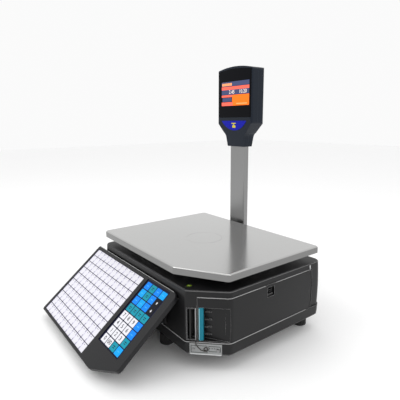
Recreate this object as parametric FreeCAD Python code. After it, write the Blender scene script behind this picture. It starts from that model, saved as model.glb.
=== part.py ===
"""Retail label-printing price scale with a pole display. Millimetres, +Z up, table top at z = 0.

The shapes are drawn in the scale's own layout: X runs left to right and Y front to back from the
front-left corner of the body. Every node is then moved so that the origin lies on the table, under the
centre of the whole scale.
"""
import FreeCAD, Part
import math
import os
from FreeCAD import Vector

# ---------------------------------------------------------------- driving dimensions
# Body
BODY_WIDTH = 382.0
BODY_DEPTH = 301.0
BODY_TOP = 148.0
FOOT_HEIGHT = 28.0
CUT_CORNER_X = 53.0
CUT_CORNER_Y = 55.0
BODY_RADII = (14.0, 5.0, 12.0, 14.0, 14.0)
CROWN = 2.5
WALL = 3.0
TOP_PLATE = 3.0
BASE_RISE = 26.0
RIM_BEVEL = 1.4
BASE_BEVEL = 3.0
BASE_PROUD = 1.9
SHARPEST = 0.8
EDGE_TOLERANCE = 0.01

# Screws that join the housing to the base tray, and their bosses
BOSS_RADIUS = 5.0
HOUSING_SCREW_RADIUS = 1.75
HOUSING_SCREW_GRIP = 12.0
HOUSING_SCREW_INSET = 14.0
HOUSING_SCREW_FRONT_Y = 13.0
HOUSING_SCREW_FRONT_X = 140.0
HOUSING_SCREW_LEFT_Y = 60.0
HOUSING_SCREW_LEFT_REAR = 53.0
HOUSING_SCREW_REAR_INSET = 12.0
HOUSING_SCREW_REAR_X = 182.0
SCREW_HEAD_RADIUS = 3.2
SCREW_HEAD_HEIGHT = 2.4
SCREW_RECESS = 6.0
RECESS_ROOM = 0.4
SCREW_CLEARANCE = 0.3
SCREW_HOLE_ROOM = 4.0

# Vents: upright slots in the rear wall, side slots in the left wall and drain slots in the floor
VENT_COUNT = 9
REAR_VENT_X = 270.0
REAR_VENT_Z = 77.0
REAR_VENT_WIDTH = 3.2
REAR_VENT_HEIGHT = 34.0
REAR_VENT_PITCH = 8.0
SIDE_VENT_Y = 70.0
SIDE_VENT_WIDTH = 3.5
SIDE_VENT_PITCH = 10.0
SIDE_VENT_LOW = 47.0
SIDE_VENT_HIGH = 87.0
FLOOR_SLOT_COUNT = 4
FLOOR_SLOT_X = 90.0
FLOOR_SLOT_Y = 90.0
FLOOR_SLOT_PITCH = 22.0
FLOOR_SLOT_LENGTH = 60.0
FLOOR_SLOT_WIDTH = 5.0
FLOOR_SLOT_RADIUS = 2.4

# Weighing pan
PAN_RIGHT_INSET = 2.0
PAN_REAR_INSET = 5.0
PAN_RISE = 30.6
PAN_LIP = 13.5
PAN_SHEET = 1.2
PAN_CUT_X = 88.0
PAN_CUT_Y = 53.0
PAN_RADII = (10.0, 9.0, 7.0, 7.0, 10.0)
PAN_EDGE_RADIUS = 4.0
PAN_RING_RADIUS = 39.0
PAN_RING_WIRE = 0.5

# Keypad
KEYPAD_TILT = 39.4
KEYPAD_X = -13.8
KEYPAD_Y = -9.8
KEYPAD_DROP = 18.1
SHEET_WIDTH = 218.3
SHEET_LENGTH = 171.3
KEYPAD_LEFT_MARGIN = 8.6
KEYPAD_TOP_MARGIN = 8.4
KEYPAD_BOTTOM_MARGIN = 5.3
KEYPAD_WIDTH = 335.2
KEYPAD_CUT_X = 63.5
KEYPAD_CUT_Y = 30.3
KEYPAD_RADII = (5.0, 6.0, 8.0, 13.0, 5.0)
FUNCTION_X = 230.5
FUNCTION_WIDTH = 78.0
FUNCTION_LENGTH = 137.0
FUNCTION_RISE = 3.0
SHEET_ROOM = 0.4
KEYPAD_RIM = 1.5
RIM_FILLET = 1.4
UPPER_CASE_HEIGHT = 7.0
LOWER_CASE_HEIGHT = 9.0
LOWER_CASE_INSET = 12.0
LOWER_CASE_RADIUS = 6.0
LOWER_CASE_STEP = 1.0
KEYPAD_WALL = 2.5
SHEET_THICKNESS = 0.6
BOARD_THICKNESS = 1.6
KEYPAD_BOARD_LEFT = 12.0
KEYPAD_BOARD_RIGHT_INSET = 34.6
KEYPAD_BOARD_TOP = 18.0
KEYPAD_BOARD_BOTTOM = 36.0
KEYPAD_BOARD_DROP = 0.4
STANDOFF_RADIUS = 3.0
STANDOFF_INSET = 18.0
STANDOFF_TOP = 12.0
STANDOFF_BOTTOM = 10.0
BRACKET_PLACES = (45.0, 255.0)
BRACKET_SHEET = 8.0
BRACKET_FLANGE = 24.0
BRACKET_FLANGE_THICKNESS = 4.0
BRACKET_REACH = (22.0, 105.0)
BRACKET_FOOT = 8.0
BRACKET_TOE = (14.0, 6.0)

# Printer door and the label slot, measured along the cut corner from its front end
DOOR_START = 20.0
DOOR_DROP = 11.0
DOOR_REAR_INSET = 39.0
DOOR_PROUD = 1.2
DOOR_WALL = 3.2
DOOR_GAP = 0.7
HINGE_RADIUS = 4.0
HINGE_BOSS_HALF = 6.0
HINGE_SWING_ROOM = 1.0
HINGE_PIN_RADIUS = 1.5
HINGE_PIN_LENGTH = 16.0
SCOOP_DEPTH = 9.0
SCOOP_END = 85.0
SCOOP_BACKING = 4.0
SCOOP_BOW = 0.28
GRIP_DEPTH = 16.0
RIB_COUNT = 4
RIB_PITCH = 14.0
RIB_WIDTH = 2.0
RIB_LENGTH = 11.5
RIB_RISE = 9.0
RIB_START = 1.5
RIB_FACE = 3.4
SLOT_START = 1.0
SLOT_WIDTH = 17.0
SLOT_RISE = 3.5
SLOT_HEIGHT = 60.0
FRAME_WALL = 1.3
FRAME_RIGHT_WALL = 1.7
FRAME_DEPTH = 5.5
FRAME_PROUD = 2.6
PEEL_BAR_START = 6.4
PEEL_BAR_WIDTH = 2.4
PEEL_BAR_DEPTH = 4.6
PEEL_BAR_PROUD = 1.4
LEVER_START = 22.6
LEVER_WIDTH = 8.2
LEVER_DEPTH = 9.0
LEVER_FACE = 3.2
LEVER_SHOULDER = 5.2
LEVER_FOOT = 3.0
LEVER_RADII = (1.4, 2.4, 1.0, 1.0, 2.2)
LEVER_ROOM = 0.5
LEVER_PIN_RADIUS = 1.25
LEVER_PIN_U = 3.0
LEVER_PIN_W = -0.5
LEVER_PIN_OVERHANG = 2.3
LOCK_Y = 151.0
LOCK_DROP = 25.0
LOCK_POCKET = 9.0
LOCK_BACKING = 14.0
LOCK_HALF_WIDTH = 6.2
LOCK_SIDE_ROOM = 0.3
LOCK_PLATE_DEPTH = 7.3
LOCK_PLATE_FACE = 4.2
LOCK_PLATE_LOW = 10.8
LOCK_PLATE_HIGH = 0.5
LOCK_LEDGE_LOW = 8.4
LOCK_LEDGE_HIGH = 4.4
LOCK_LEDGE_PROUD = 1.0
LOCK_SPRING_RADIUS = 1.1
LOCK_SPRING_WIRE = 0.4
LOCK_SPRING_TURNS = 7
LOCK_SPRING_LOW = 0.8
LOCK_SPRING_HIGH = 11.7

# Seal plate, its screws and its wire
SEAL_START = 6.5
SEAL_THICKNESS = 1.4
SEAL_WIDTH = 56.0
SEAL_BOTTOM_INSET = 3.0
SEAL_TOP_INSET = 1.5
SEAL_SCREW_PLACES = (13.0, 56.0)
SEAL_SHANK_RADIUS = 1.2
SEAL_SHANK_LENGTH = 7.6
SEAL_SHANK_DEPTH = 1.4
SEAL_HEAD_RADIUS = 2.6
SEAL_HEAD_HEIGHT = 2.0
SEAL_GROOVE = 0.8
SEAL_GROOVE_DEPTH = 0.4
SEAL_WIRE_U = 36.0
SEAL_WIRE_RISE = 10.0
SEAL_RING_RADIUS = 4.5
SEAL_WIRE_RADIUS = 0.5

# Printer
PLATE_RISE = 2.0
PLATE_THICKNESS = 2.0
PLATE_REACH = 134.0
PLATE_REAR_ROOM = 14.0
PLATE_SIDE_ROOM = 2.5
COLUMN_WIDTH = 9.0
WEB_FRONT = 20.0
WEB_RISE = 8.0
CHASSIS_FRONT_POST = (114.0, 18.0)
CHASSIS_LEFT_POST = (122.0, 100.0)
CHASSIS_RIGHT_POST = (20.0, 110.0)
CHASSIS_REAR_POST = (120.0, 58.0)
ROLL_SIDE = 64.0
ROLL_REAR = 115.0
ROLL_RADIUS = 50.0
ROLL_LIFT = 3.0
CORE_RADIUS = 21.5
SPINDLE_RADIUS = 20.0
SPINDLE_WALL = 3.0
SPINDLE_PLATE_RADIUS = 30.0
SPINDLE_OVERHANG = 4.0
LABEL_WIDTH = 56.0
PLATEN_U = 6.0
PLATEN_W = -19.0
PLATEN_RADIUS = 7.0
PLATEN_SHAFT_RADIUS = 3.0
SHAFT_OVERHANG = 6.0
GEAR_MODULE = 1.0
GEAR_WIDTH = 5.0
GEAR_DROP = 8.0
GEAR_ROOT = 1.2
GEAR_TIP = 0.8
PLATEN_TEETH = 24
IDLER_TEETH = 28
PINION_TEETH = 12
SPOOL_TEETH = 50
IDLER_DIRECTION = 120.0
PINION_DIRECTION = 180.0
SPOOL_DIRECTION = 56.0
IDLER_STUD_RADIUS = 2.5
IDLER_STOP_RADIUS = 4.0
SPOOL_RADIUS = 22.0
SPOOL_HUB_RADIUS = 12.0
SPOOL_AXLE_RADIUS = 3.0
SPOOL_FLANGE = 1.6
MOTOR_RADIUS = 14.0
MOTOR_HEIGHT = 24.0
MOTOR_LID_INSET = 3.0
MOTOR_LID_HEIGHT = 2.0
ROTOR_RADIUS = 2.0
ROTOR_REACH = 8.0
ROTOR_ROOM = 0.5
HEAD_PIN_U = 26.0
HEAD_PIN_W = -48.0
HEAD_PIN_RADIUS = 2.0
KNUCKLE_RADIUS = 3.4
PRINT_HEAD_THICKNESS = 5.0
PRINT_HEAD_DEPTH = 13.0
PRINT_HEAD_W = -15.0
CARRIER_THICKNESS = 4.0
CARRIER_END_W = -46.0
PRINT_HEAD_INSET = 2.0

# Load cell and platform
CELL_WIDTH = 30.0
CELL_LENGTH = 140.0
CELL_HEIGHT = 40.0
CELL_RISE = 22.0
CELL_BOLT_RADIUS = 3.0
CELL_BOLT_PITCH = 20.0
CELL_BOLT_HEAD = 5.0
CELL_BOLT_ROOM = 0.3
CELL_BOLT_BITE = 12.0
CELL_TOP_BITE = 14.0
BOLT_HOLE_ROOM = 2.0
CELL_END = 16.0
CELL_HOLE_RADIUS = 15.0
CELL_HOLE_PITCH = 26.0
CELL_PAD_MARGIN = 8.0
CELL_PAD_LENGTH = 44.0
POST_WIDTH = 26.0
POST_LENGTH = 36.0
POST_RADIUS = 4.0
POST_ROOM = 8.0
OPENING_RADIUS = 6.0
COLLAR_WIDTH = 3.0
COLLAR_HEIGHT = 4.0
ARM_INSET_X = 41.0
ARM_INSET_Y = 34.5
ARM_WIDTH = 22.0
ARM_DROP = 20.6
ARM_THICKNESS = 9.0
HUB_WIDTH = 90.0
HUB_MARGIN = 10.0
PAD_SHARE = 0.9
CUT_PAD_SHARE = 0.72
PAD_RADIUS = 9.0
PEG_RADIUS = 3.0
PEG_DEPTH = 5.0

# Feet
FOOT_RADIUS = 14.0
FOOT_PAD_HEIGHT = 6.0
FOOT_BEVEL = 1.2
FOOT_FLUTES = 12
FLUTE_RADIUS = 1.8
FLUTE_OUTSET = 0.6
FOOT_TOP_ROOM = 1.5
FOOT_TRAVEL_UP = 4.0
STUD_RADIUS = 4.0
STUD_REACH = 15.0
STUD_BOSS_WALL = 5.0
STUD_BOSS_HEIGHT = 16.0
FRONT_FEET_Y = 18.0
REAR_FEET_INSET = 19.0
LEFT_FEET_X = 32.0
FRONT_RIGHT_FOOT_INSET = 146.0
REAR_RIGHT_FOOT_INSET = 32.0

# Rear wall: mains inlet, power switch and connector panel
INLET_X = 40.0
INLET_RISE = 64.0
INLET_WIDTH = 28.0
INLET_HEIGHT = 20.5
INLET_DEPTH = 14.0
INLET_FLANGE_WIDTH = 34.0
INLET_FLANGE_HEIGHT = 26.0
INLET_FLANGE = 2.5
INLET_ROOM = 0.6
SOCKET_WIDTH = 24.0
SOCKET_HEIGHT = 15.0
SOCKET_DEPTH = 11.0
BLADE_PITCH = 7.0
BLADE_SHIFT = 2.0
BLADE_WIDTH = 2.0
BLADE_HEIGHT = 4.0
BLADE_LENGTH = 11.0
SWITCH_X = 68.0
SWITCH_WIDTH = 13.5
SWITCH_HEIGHT = 19.5
SWITCH_ROOM = 0.5
SWITCH_SWING_ROOM = 2.1
SWITCH_FACE = 6.5
SWITCH_HUB_RADIUS = 3.0
SWITCH_FOOT_HALF = 5.0
PORT_X = 205.0
PORT_WIDTH = 86.0
PORT_HEIGHT = 24.0
PORT_FLANGE = 4.0
PORT_FLANGE_THICKNESS = 2.3
PORT_SOCKET_DEPTH = 9.0
PORT_SOCKETS = ((-36, 13, 11.5), (-16, 22, 10), (13, 6, 13), (25, 12, 12))
WALL_CUT = 12.0

# Main board and power supply on the floor of the base tray
BOARD_LEFT = 24.0
BOARD_FRONT = 40.0
BOARD_WIDTH = 126.0
BOARD_DEPTH = 132.0
BOARD_LIFT = 6.0
SPACER_RADIUS = 3.0
SPACER_INSET = 6.0
CAPACITOR_COUNT = 3
CAPACITOR_RADIUS = 4.5
CAPACITOR_HEIGHT = 13.0
CAPACITOR_PITCH = 14.0
SUPPLY_LEFT = 22.0
SUPPLY_WIDTH = 106.0
SUPPLY_FRONT_ROOM = 16.0
SUPPLY_DEPTH = 74.0
SUPPLY_HEIGHT = 38.0

# Pole and display head
POLE_X = 116.8
POLE_BACK = 16.6
POLE_WIDTH = 52.0
POLE_DEPTH = 16.0
POLE_RADIUS = 4.0
POLE_WALL = 1.8
POLE_RISE = 6.0
POLE_REACH = 20.0
POLE_SCREW_RISES = (12.0, 58.0)
POLE_SCREW_RADIUS = 2.0
POLE_SCREW_LENGTH = 11.0
POLE_SCREW_HEAD_RADIUS = 3.6
POLE_SCREW_HEAD_HEIGHT = 2.6
BRACKET_DROP = 12.0
BRACKET_SIDE = 6.0
BRACKET_BACK = 5.0
HEAD_WIDTH = 120.6
HEAD_DEPTH = 42.4
HEAD_TOP = 548.0
HEAD_ARCH = 6.0
HEAD_CORNER = 7.0
HEAD_SIDE_HEIGHT = 126.0
HEAD_PLAN_RADIUS = 6.0
HEAD_SHOULDER = 0.6
CHIN_DROP = 2.0
NECK_TOP_DROP = 153.0
NECK_BOTTOM_DROP = 182.0
NECK_WIDTH = 58.0
NECK_DEPTH = 27.0
HEAD_WALL = 2.5
WINDOW_WIDTH = 116.0
WINDOW_BOTTOM_DROP = 112.0
WINDOW_TOP_DROP = 4.0
WINDOW_THICKNESS = 2.0
WINDOW_ROOM = 0.2
SCREEN_WIDTH = 96.6
SCREEN_HEIGHT = 56.1
SCREEN_SHIFT = 4.1
SCREEN_DROP = 56.0
SCREEN_ROOM = 1.0
MODULE_MARGIN = 2.5
MODULE_DEPTH = 6.0
BADGE_WIDTH = 88.0
BADGE_HEIGHT = 23.0
BADGE_DROP = 120.0
BADGE_THICKNESS = 0.7

# Level
LEVEL_SIDE = 63.0
LEVEL_Y = 15.0
LEVEL_RADIUS = 6.0
LEVEL_FLANGE = 1.8
LEVEL_FLANGE_HEIGHT = 1.2
LEVEL_WALL = 1.1
LEVEL_DEPTH = 8.0
VIAL_RISE = 0.6
VIAL_FILLET = 0.5

# Fits
REST_GAP = 0.3
RUNNING_FIT = 0.05
SEAT_GAP = 0.1
PIN_HOLE_ROOM = 0.2

# How far cutting shapes run past what they cut
PAST = 1.0
FAR = 60.0

# ---------------------------------------------------------------- derived places
BASE_SEAM = FOOT_HEIGHT + BASE_RISE
DOOR_TOP = BODY_TOP - DOOR_DROP
DOOR_REAR = BODY_DEPTH - DOOR_REAR_INSET
PAN_WIDTH = BODY_WIDTH - PAN_RIGHT_INSET
PAN_DEPTH = BODY_DEPTH - PAN_REAR_INSET
PAN_TOP = BODY_TOP + PAN_RISE
UNDER_PAN = PAN_TOP - PAN_SHEET
ARM_Z = PAN_TOP - ARM_DROP
ARM_TOP = ARM_Z + ARM_THICKNESS
ARM_REACH_X = BODY_WIDTH / 2 - ARM_INSET_X
ARM_REACH_Y = BODY_DEPTH / 2 - ARM_INSET_Y
KEYPAD_Z = BODY_TOP - KEYPAD_DROP
KEYPAD_TURN = math.radians(KEYPAD_TILT)
LEFT_END = KEYPAD_X - KEYPAD_LEFT_MARGIN
RIGHT_END = BODY_WIDTH + CROWN + DOOR_PROUD
FRONT_END = (KEYPAD_Y - (SHEET_LENGTH + KEYPAD_BOTTOM_MARGIN - RIM_FILLET) * math.cos(KEYPAD_TURN)
             - (KEYPAD_RIM - RIM_FILLET) * math.sin(KEYPAD_TURN) - RIM_FILLET)
POLE_Y = BODY_DEPTH + POLE_BACK
POLE_BOTTOM = BASE_SEAM + POLE_RISE
POLE_SCREW_HEIGHTS = tuple(POLE_BOTTOM + rise for rise in POLE_SCREW_RISES)
BRACKET_TOP = BODY_TOP - BRACKET_DROP
HEAD_FRONT = POLE_Y - HEAD_DEPTH / 2
HEAD_BACK = POLE_Y + HEAD_DEPTH / 2
HEAD_SIDE_BOTTOM = HEAD_TOP - HEAD_SIDE_HEIGHT
NECK_TOP = HEAD_TOP - NECK_TOP_DROP
NECK_BOTTOM = HEAD_TOP - NECK_BOTTOM_DROP
WINDOW_BOTTOM = HEAD_TOP - WINDOW_BOTTOM_DROP
WINDOW_TOP = HEAD_TOP - WINDOW_TOP_DROP
SCREEN_X = POLE_X + SCREEN_SHIFT
SCREEN_Z = HEAD_TOP - SCREEN_DROP
BADGE_TOP = HEAD_TOP - BADGE_DROP
BODY_MIDDLE = (FOOT_HEIGHT + BODY_TOP) / 2
CUT_LENGTH = math.hypot(CUT_CORNER_X, CUT_CORNER_Y)
CUT_ALONG = Vector(CUT_CORNER_X / CUT_LENGTH, CUT_CORNER_Y / CUT_LENGTH, 0)
CUT_OUT = Vector(CUT_CORNER_Y / CUT_LENGTH, -CUT_CORNER_X / CUT_LENGTH, 0)
CUT_ORIGIN = Vector(BODY_WIDTH - CUT_CORNER_X, 0, 0)
CELL_X = BODY_WIDTH / 2
CELL_Y = BODY_DEPTH / 2
CELL_Z = FOOT_HEIGHT + CELL_RISE
CELL_TOP = CELL_Z + CELL_HEIGHT
POST_Y = CELL_Y + CELL_LENGTH / 2 - CELL_END - CELL_BOLT_PITCH / 2
HINGE_X = BODY_WIDTH + CROWN - HINGE_RADIUS + DOOR_PROUD
HINGE_Y = DOOR_REAR + HINGE_RADIUS
LOCK_Z = BODY_TOP - LOCK_DROP
SLOT_BOTTOM = BASE_SEAM + SLOT_RISE
SLOT_TOP = SLOT_BOTTOM + SLOT_HEIGHT
SEAL_LOW = FOOT_HEIGHT + SEAL_BOTTOM_INSET
SEAL_HIGH = BASE_SEAM - SEAL_TOP_INSET
SEAL_MIDDLE = (SEAL_LOW + SEAL_HIGH) / 2
FLOOR_TOP = FOOT_HEIGHT + WALL
PLATE_Z = BASE_SEAM + PLATE_RISE
PLATE_TOP = PLATE_Z + PLATE_THICKNESS
PLATE_LEFT = BODY_WIDTH - PLATE_REACH
GEAR_Z = PLATE_Z - GEAR_DROP
ROLL_X = BODY_WIDTH - ROLL_SIDE
ROLL_Y = BODY_DEPTH - ROLL_REAR
REAR_FEET_Y = BODY_DEPTH - REAR_FEET_INSET
FRONT_RIGHT_FOOT_X = BODY_WIDTH - FRONT_RIGHT_FOOT_INSET
REAR_RIGHT_FOOT_X = BODY_WIDTH - REAR_RIGHT_FOOT_INSET
LEVEL_X = BODY_WIDTH - LEVEL_SIDE
INLET_Z = FOOT_HEIGHT + INLET_RISE
REAR_FACE = BODY_DEPTH + CROWN
SWITCH_PIVOT_Y = BODY_DEPTH - WALL
HOUSING_SCREW_PLACES = ((HOUSING_SCREW_INSET, HOUSING_SCREW_LEFT_Y),
                        (HOUSING_SCREW_INSET, BODY_DEPTH - HOUSING_SCREW_LEFT_REAR),
                        (BODY_WIDTH - HOUSING_SCREW_REAR_X, BODY_DEPTH - HOUSING_SCREW_REAR_INSET),
                        (HOUSING_SCREW_FRONT_X, HOUSING_SCREW_FRONT_Y))
CHASSIS_POSTS = ((BODY_WIDTH - CHASSIS_LEFT_POST[0], CHASSIS_LEFT_POST[1]),
                 (BODY_WIDTH - CHASSIS_REAR_POST[0], BODY_DEPTH - CHASSIS_REAR_POST[1]),
                 (BODY_WIDTH - CHASSIS_RIGHT_POST[0], CHASSIS_RIGHT_POST[1]),
                 (BODY_WIDTH - CHASSIS_FRONT_POST[0], CHASSIS_FRONT_POST[1]))


# ---------------------------------------------------------------- helpers
def rounded_wire(points, radii, z=0.0):
    """Closed wire through the points, counter-clockwise, with each corner rounded by its radius."""
    count = len(points)
    starts = []
    ends = []
    middles = []
    for index in range(count):
        here = Vector(*points[index], z)
        before = (Vector(*points[index - 1], z) - here).normalize()
        after = (Vector(*points[(index + 1) % count], z) - here).normalize()
        half = before.getAngle(after) / 2
        reach = radii[index] / math.tan(half)
        centre = here + (before + after).normalize() * (radii[index] / math.sin(half))
        starts.append(here + before * reach)
        ends.append(here + after * reach)
        middles.append(centre + (here - centre).normalize() * radii[index])
    edges = []
    for index in range(count):
        edges.append(Part.Arc(starts[index], middles[index], ends[index]).toShape())
        edges.append(Part.LineSegment(ends[index], starts[(index + 1) % count]).toShape())
    return Part.Wire(edges)


def prism(points, radii, low, high):
    """Upright prism with rounded corners between two heights."""
    face = Part.Face(rounded_wire(points, radii, low))
    return face.extrude(Vector(0, 0, high - low))


def polygon_face(points):
    """Flat face through 3-D points."""
    vectors = [Vector(*point) for point in points]
    return Part.Face(Part.makePolygon(vectors + [vectors[0]]))


def box(x0, x1, y0, y1, z0, z1):
    """Box between two corners."""
    return Part.makeBox(x1 - x0, y1 - y0, z1 - z0, Vector(x0, y0, z0))


def centred_box(x, y, width, depth, low, high):
    """Upright box centred on a point."""
    return box(x - width / 2, x + width / 2, y - depth / 2, y + depth / 2, low, high)


def rounded_box(x, y, width, depth, radius, low, high):
    """Upright box with rounded upright edges, centred on a point."""
    points = [(x - width / 2, y - depth / 2), (x + width / 2, y - depth / 2),
              (x + width / 2, y + depth / 2), (x - width / 2, y + depth / 2)]
    return prism(points, [radius] * 4, low, high)


def post(x, y, radius, low, high):
    """Upright cylinder."""
    return Part.makeCylinder(radius, high - low, Vector(x, y, low))


def tube(x, y, outer, inner, low, high):
    """Upright hollow cylinder."""
    return post(x, y, outer, low, high).cut(post(x, y, inner, low - PAST, high + PAST))


def on_cut(shape):
    """Place a shape drawn along (u), out of (v = -w) and up the cut corner into the layout."""
    matrix = FreeCAD.Matrix(CUT_ALONG.x, -CUT_OUT.x, 0, CUT_ORIGIN.x,
                            CUT_ALONG.y, -CUT_OUT.y, 0, CUT_ORIGIN.y,
                            0, 0, 1, 0,
                            0, 0, 0, 1)
    return shape.transformed(matrix, copy=True)


def cut_box(u0, u1, w0, w1, z0, z1):
    """Box on the cut corner: u along it, w outwards, z up."""
    return on_cut(box(u0, u1, -w1, -w0, z0, z1))


def cut_point(u, w):
    """Layout point of a place on the cut corner."""
    place = CUT_ORIGIN + CUT_ALONG * u + CUT_OUT * w
    return place.x, place.y


def on_keypad(shape):
    """Place a shape drawn flat (x across, y up the slope, z out of the keys) onto the keypad."""
    placed = shape.copy()
    placed.rotate(Vector(0, 0, 0), Vector(1, 0, 0), KEYPAD_TILT)
    placed.translate(Vector(KEYPAD_X, KEYPAD_Y, KEYPAD_Z))
    return placed


def fuse_all(shapes):
    """One solid from overlapping shapes."""
    first = shapes[0].fuse(shapes[1:]) if len(shapes) > 1 else shapes[0]
    return first.removeSplitter()


def body_outline(offset):
    """Corners of the body's plan, moved inwards by offset."""
    turn = math.atan2(CUT_CORNER_Y, CUT_CORNER_X)
    front_shift = offset * math.tan(turn / 2)
    side_shift = offset * math.tan((math.pi / 2 - turn) / 2)
    return [(offset, offset),
            (BODY_WIDTH - CUT_CORNER_X - front_shift, offset),
            (BODY_WIDTH - offset, CUT_CORNER_Y + side_shift),
            (BODY_WIDTH - offset, BODY_DEPTH - offset),
            (offset, BODY_DEPTH - offset)]


def crown_at(z):
    """How far the body's wall stands out of its plan at a height."""
    reach = (BODY_TOP - FOOT_HEIGHT) / 2
    return CROWN * (1 - ((z - BODY_MIDDLE) / reach) ** 2)


def body_wire(offset, z):
    """Plan of the body at a height, moved inwards by offset."""
    radii = [max(radius - offset, SHARPEST) for radius in BODY_RADII]
    return rounded_wire(body_outline(offset), radii, z)


def body_block(offset):
    """Crowned outer form of the body, moved inwards by offset."""
    sections = [body_wire(offset, FOOT_HEIGHT), body_wire(offset - CROWN, BODY_MIDDLE),
                body_wire(offset, BODY_TOP)]
    return Part.makeLoft(sections, True, False)


def body_envelope():
    """Bevelled block that takes the sharp edges off the body's top and bottom."""
    rise = 10.0
    lower = [body_wire(BASE_BEVEL, FOOT_HEIGHT), body_wire(BASE_BEVEL - rise, FOOT_HEIGHT + rise)]
    upper = [body_wire(RIM_BEVEL - rise, BODY_TOP - rise), body_wire(RIM_BEVEL, BODY_TOP)]
    return Part.makeLoft(lower + upper, True, True)


def wide_slab(low, high):
    """Slab that covers the whole body between two heights."""
    return box(-FAR, BODY_WIDTH + FAR, -FAR, BODY_DEPTH + FAR, low, high)


def gear(x, y, teeth, bore, low, phase):
    """Spur gear with plain flanks: phase is the angle of one tooth's middle, in degrees."""
    pitch_radius = GEAR_MODULE * teeth / 2
    root = pitch_radius - GEAR_ROOT * GEAR_MODULE
    tip = pitch_radius + GEAR_TIP * GEAR_MODULE
    step = 2 * math.pi / teeth
    points = []
    for index in range(teeth):
        middle = math.radians(phase) + index * step
        for radius, share in ((root, -0.27), (tip, -0.11), (tip, 0.11), (root, 0.27)):
            angle = middle + share * step
            points.append((x + radius * math.cos(angle), y + radius * math.sin(angle), low))
    blank = polygon_face(points).extrude(Vector(0, 0, GEAR_WIDTH))
    return blank.cut(post(x, y, bore, low - PAST, low + GEAR_WIDTH + PAST))


def mesh_phase(driver_phase, driver_teeth, direction, driven_teeth):
    """Phase that sets a gear in mesh with its driver, which lies opposite to direction."""
    offset = (driver_phase - direction) * driver_teeth / driven_teeth
    return direction + 180 - offset + 180 / driven_teeth


def coil(x, y, radius, wire, low, high, turns):
    """Helical spring standing on end."""
    pitch = (high - low - wire) / turns
    path = Part.makeHelix(pitch, high - low - wire, radius)
    ring = Part.Wire(Part.makeCircle(wire / 2, Vector(radius, 0, 0), Vector(0, 1, 0)))
    spring = Part.Wire(path.Edges).makePipeShell([ring], True, True)
    spring.translate(Vector(x, y, low + wire / 2))
    return spring


def screw(x, y, head_radius, head_height, shank_radius, length, top, up=True):
    """Upright pan-head screw whose head's bearing face is at top."""
    head_low, head_high = (top, top + head_height) if up else (top - head_height, top)
    shank_low, shank_high = (top - length, top) if up else (top, top + length)
    head = post(x, y, head_radius, head_low, head_high)
    return fuse_all([head, post(x, y, shank_radius, shank_low, shank_high)])


# ---------------------------------------------------------------- body
def door_zone(gap):
    """Region of the body's side that the printer door covers, grown by gap."""
    start = DOOR_START - gap
    start_outer = cut_point(start, FAR)
    start_inner = cut_point(start, -FAR)
    rear = HINGE_Y + (HINGE_RADIUS + HINGE_SWING_ROOM if gap else -HINGE_RADIUS) + gap
    far = BODY_WIDTH + FAR
    points = [start_inner, start_outer, (far, start_outer[1]), (far, rear), (start_inner[0], rear)]
    low = BASE_SEAM + DOOR_GAP - gap
    outline = polygon_face([(x, y, low) for x, y in points])
    return outline.extrude(Vector(0, 0, DOOR_TOP - DOOR_GAP + gap - low))


def hinge_boss(low, high):
    """Pin boss inside the body's wall at the door's hinge."""
    boss = box(HINGE_X - HINGE_BOSS_HALF, HINGE_X + HINGE_RADIUS, HINGE_Y - HINGE_BOSS_HALF,
               HINGE_Y + HINGE_BOSS_HALF, low, high)
    return boss.cut(post(HINGE_X, HINGE_Y, HINGE_PIN_RADIUS, low - PAST, high + PAST))


def foot_places():
    """Plan positions of the four levelling feet by name."""
    return {"front_left": (LEFT_FEET_X, FRONT_FEET_Y),
            "front_right": (FRONT_RIGHT_FOOT_X, FRONT_FEET_Y),
            "rear_left": (LEFT_FEET_X, REAR_FEET_Y),
            "rear_right": (REAR_RIGHT_FOOT_X, REAR_FEET_Y)}


def make_body():
    """Base tray and upper housing, split at the seam."""
    outer = body_block(0).common(body_envelope())
    inner = body_block(WALL).common(wide_slab(FLOOR_TOP, BODY_TOP - TOP_PLATE))
    strip = body_block(-BASE_PROUD).common(body_envelope()).cut(inner)
    base = strip.common(wide_slab(FOOT_HEIGHT - PAST, BASE_SEAM))
    upper = outer.cut(inner).common(wide_slab(BASE_SEAM, BODY_TOP + PAST))
    return make_base_tray(base), make_upper_housing(upper)


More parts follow.
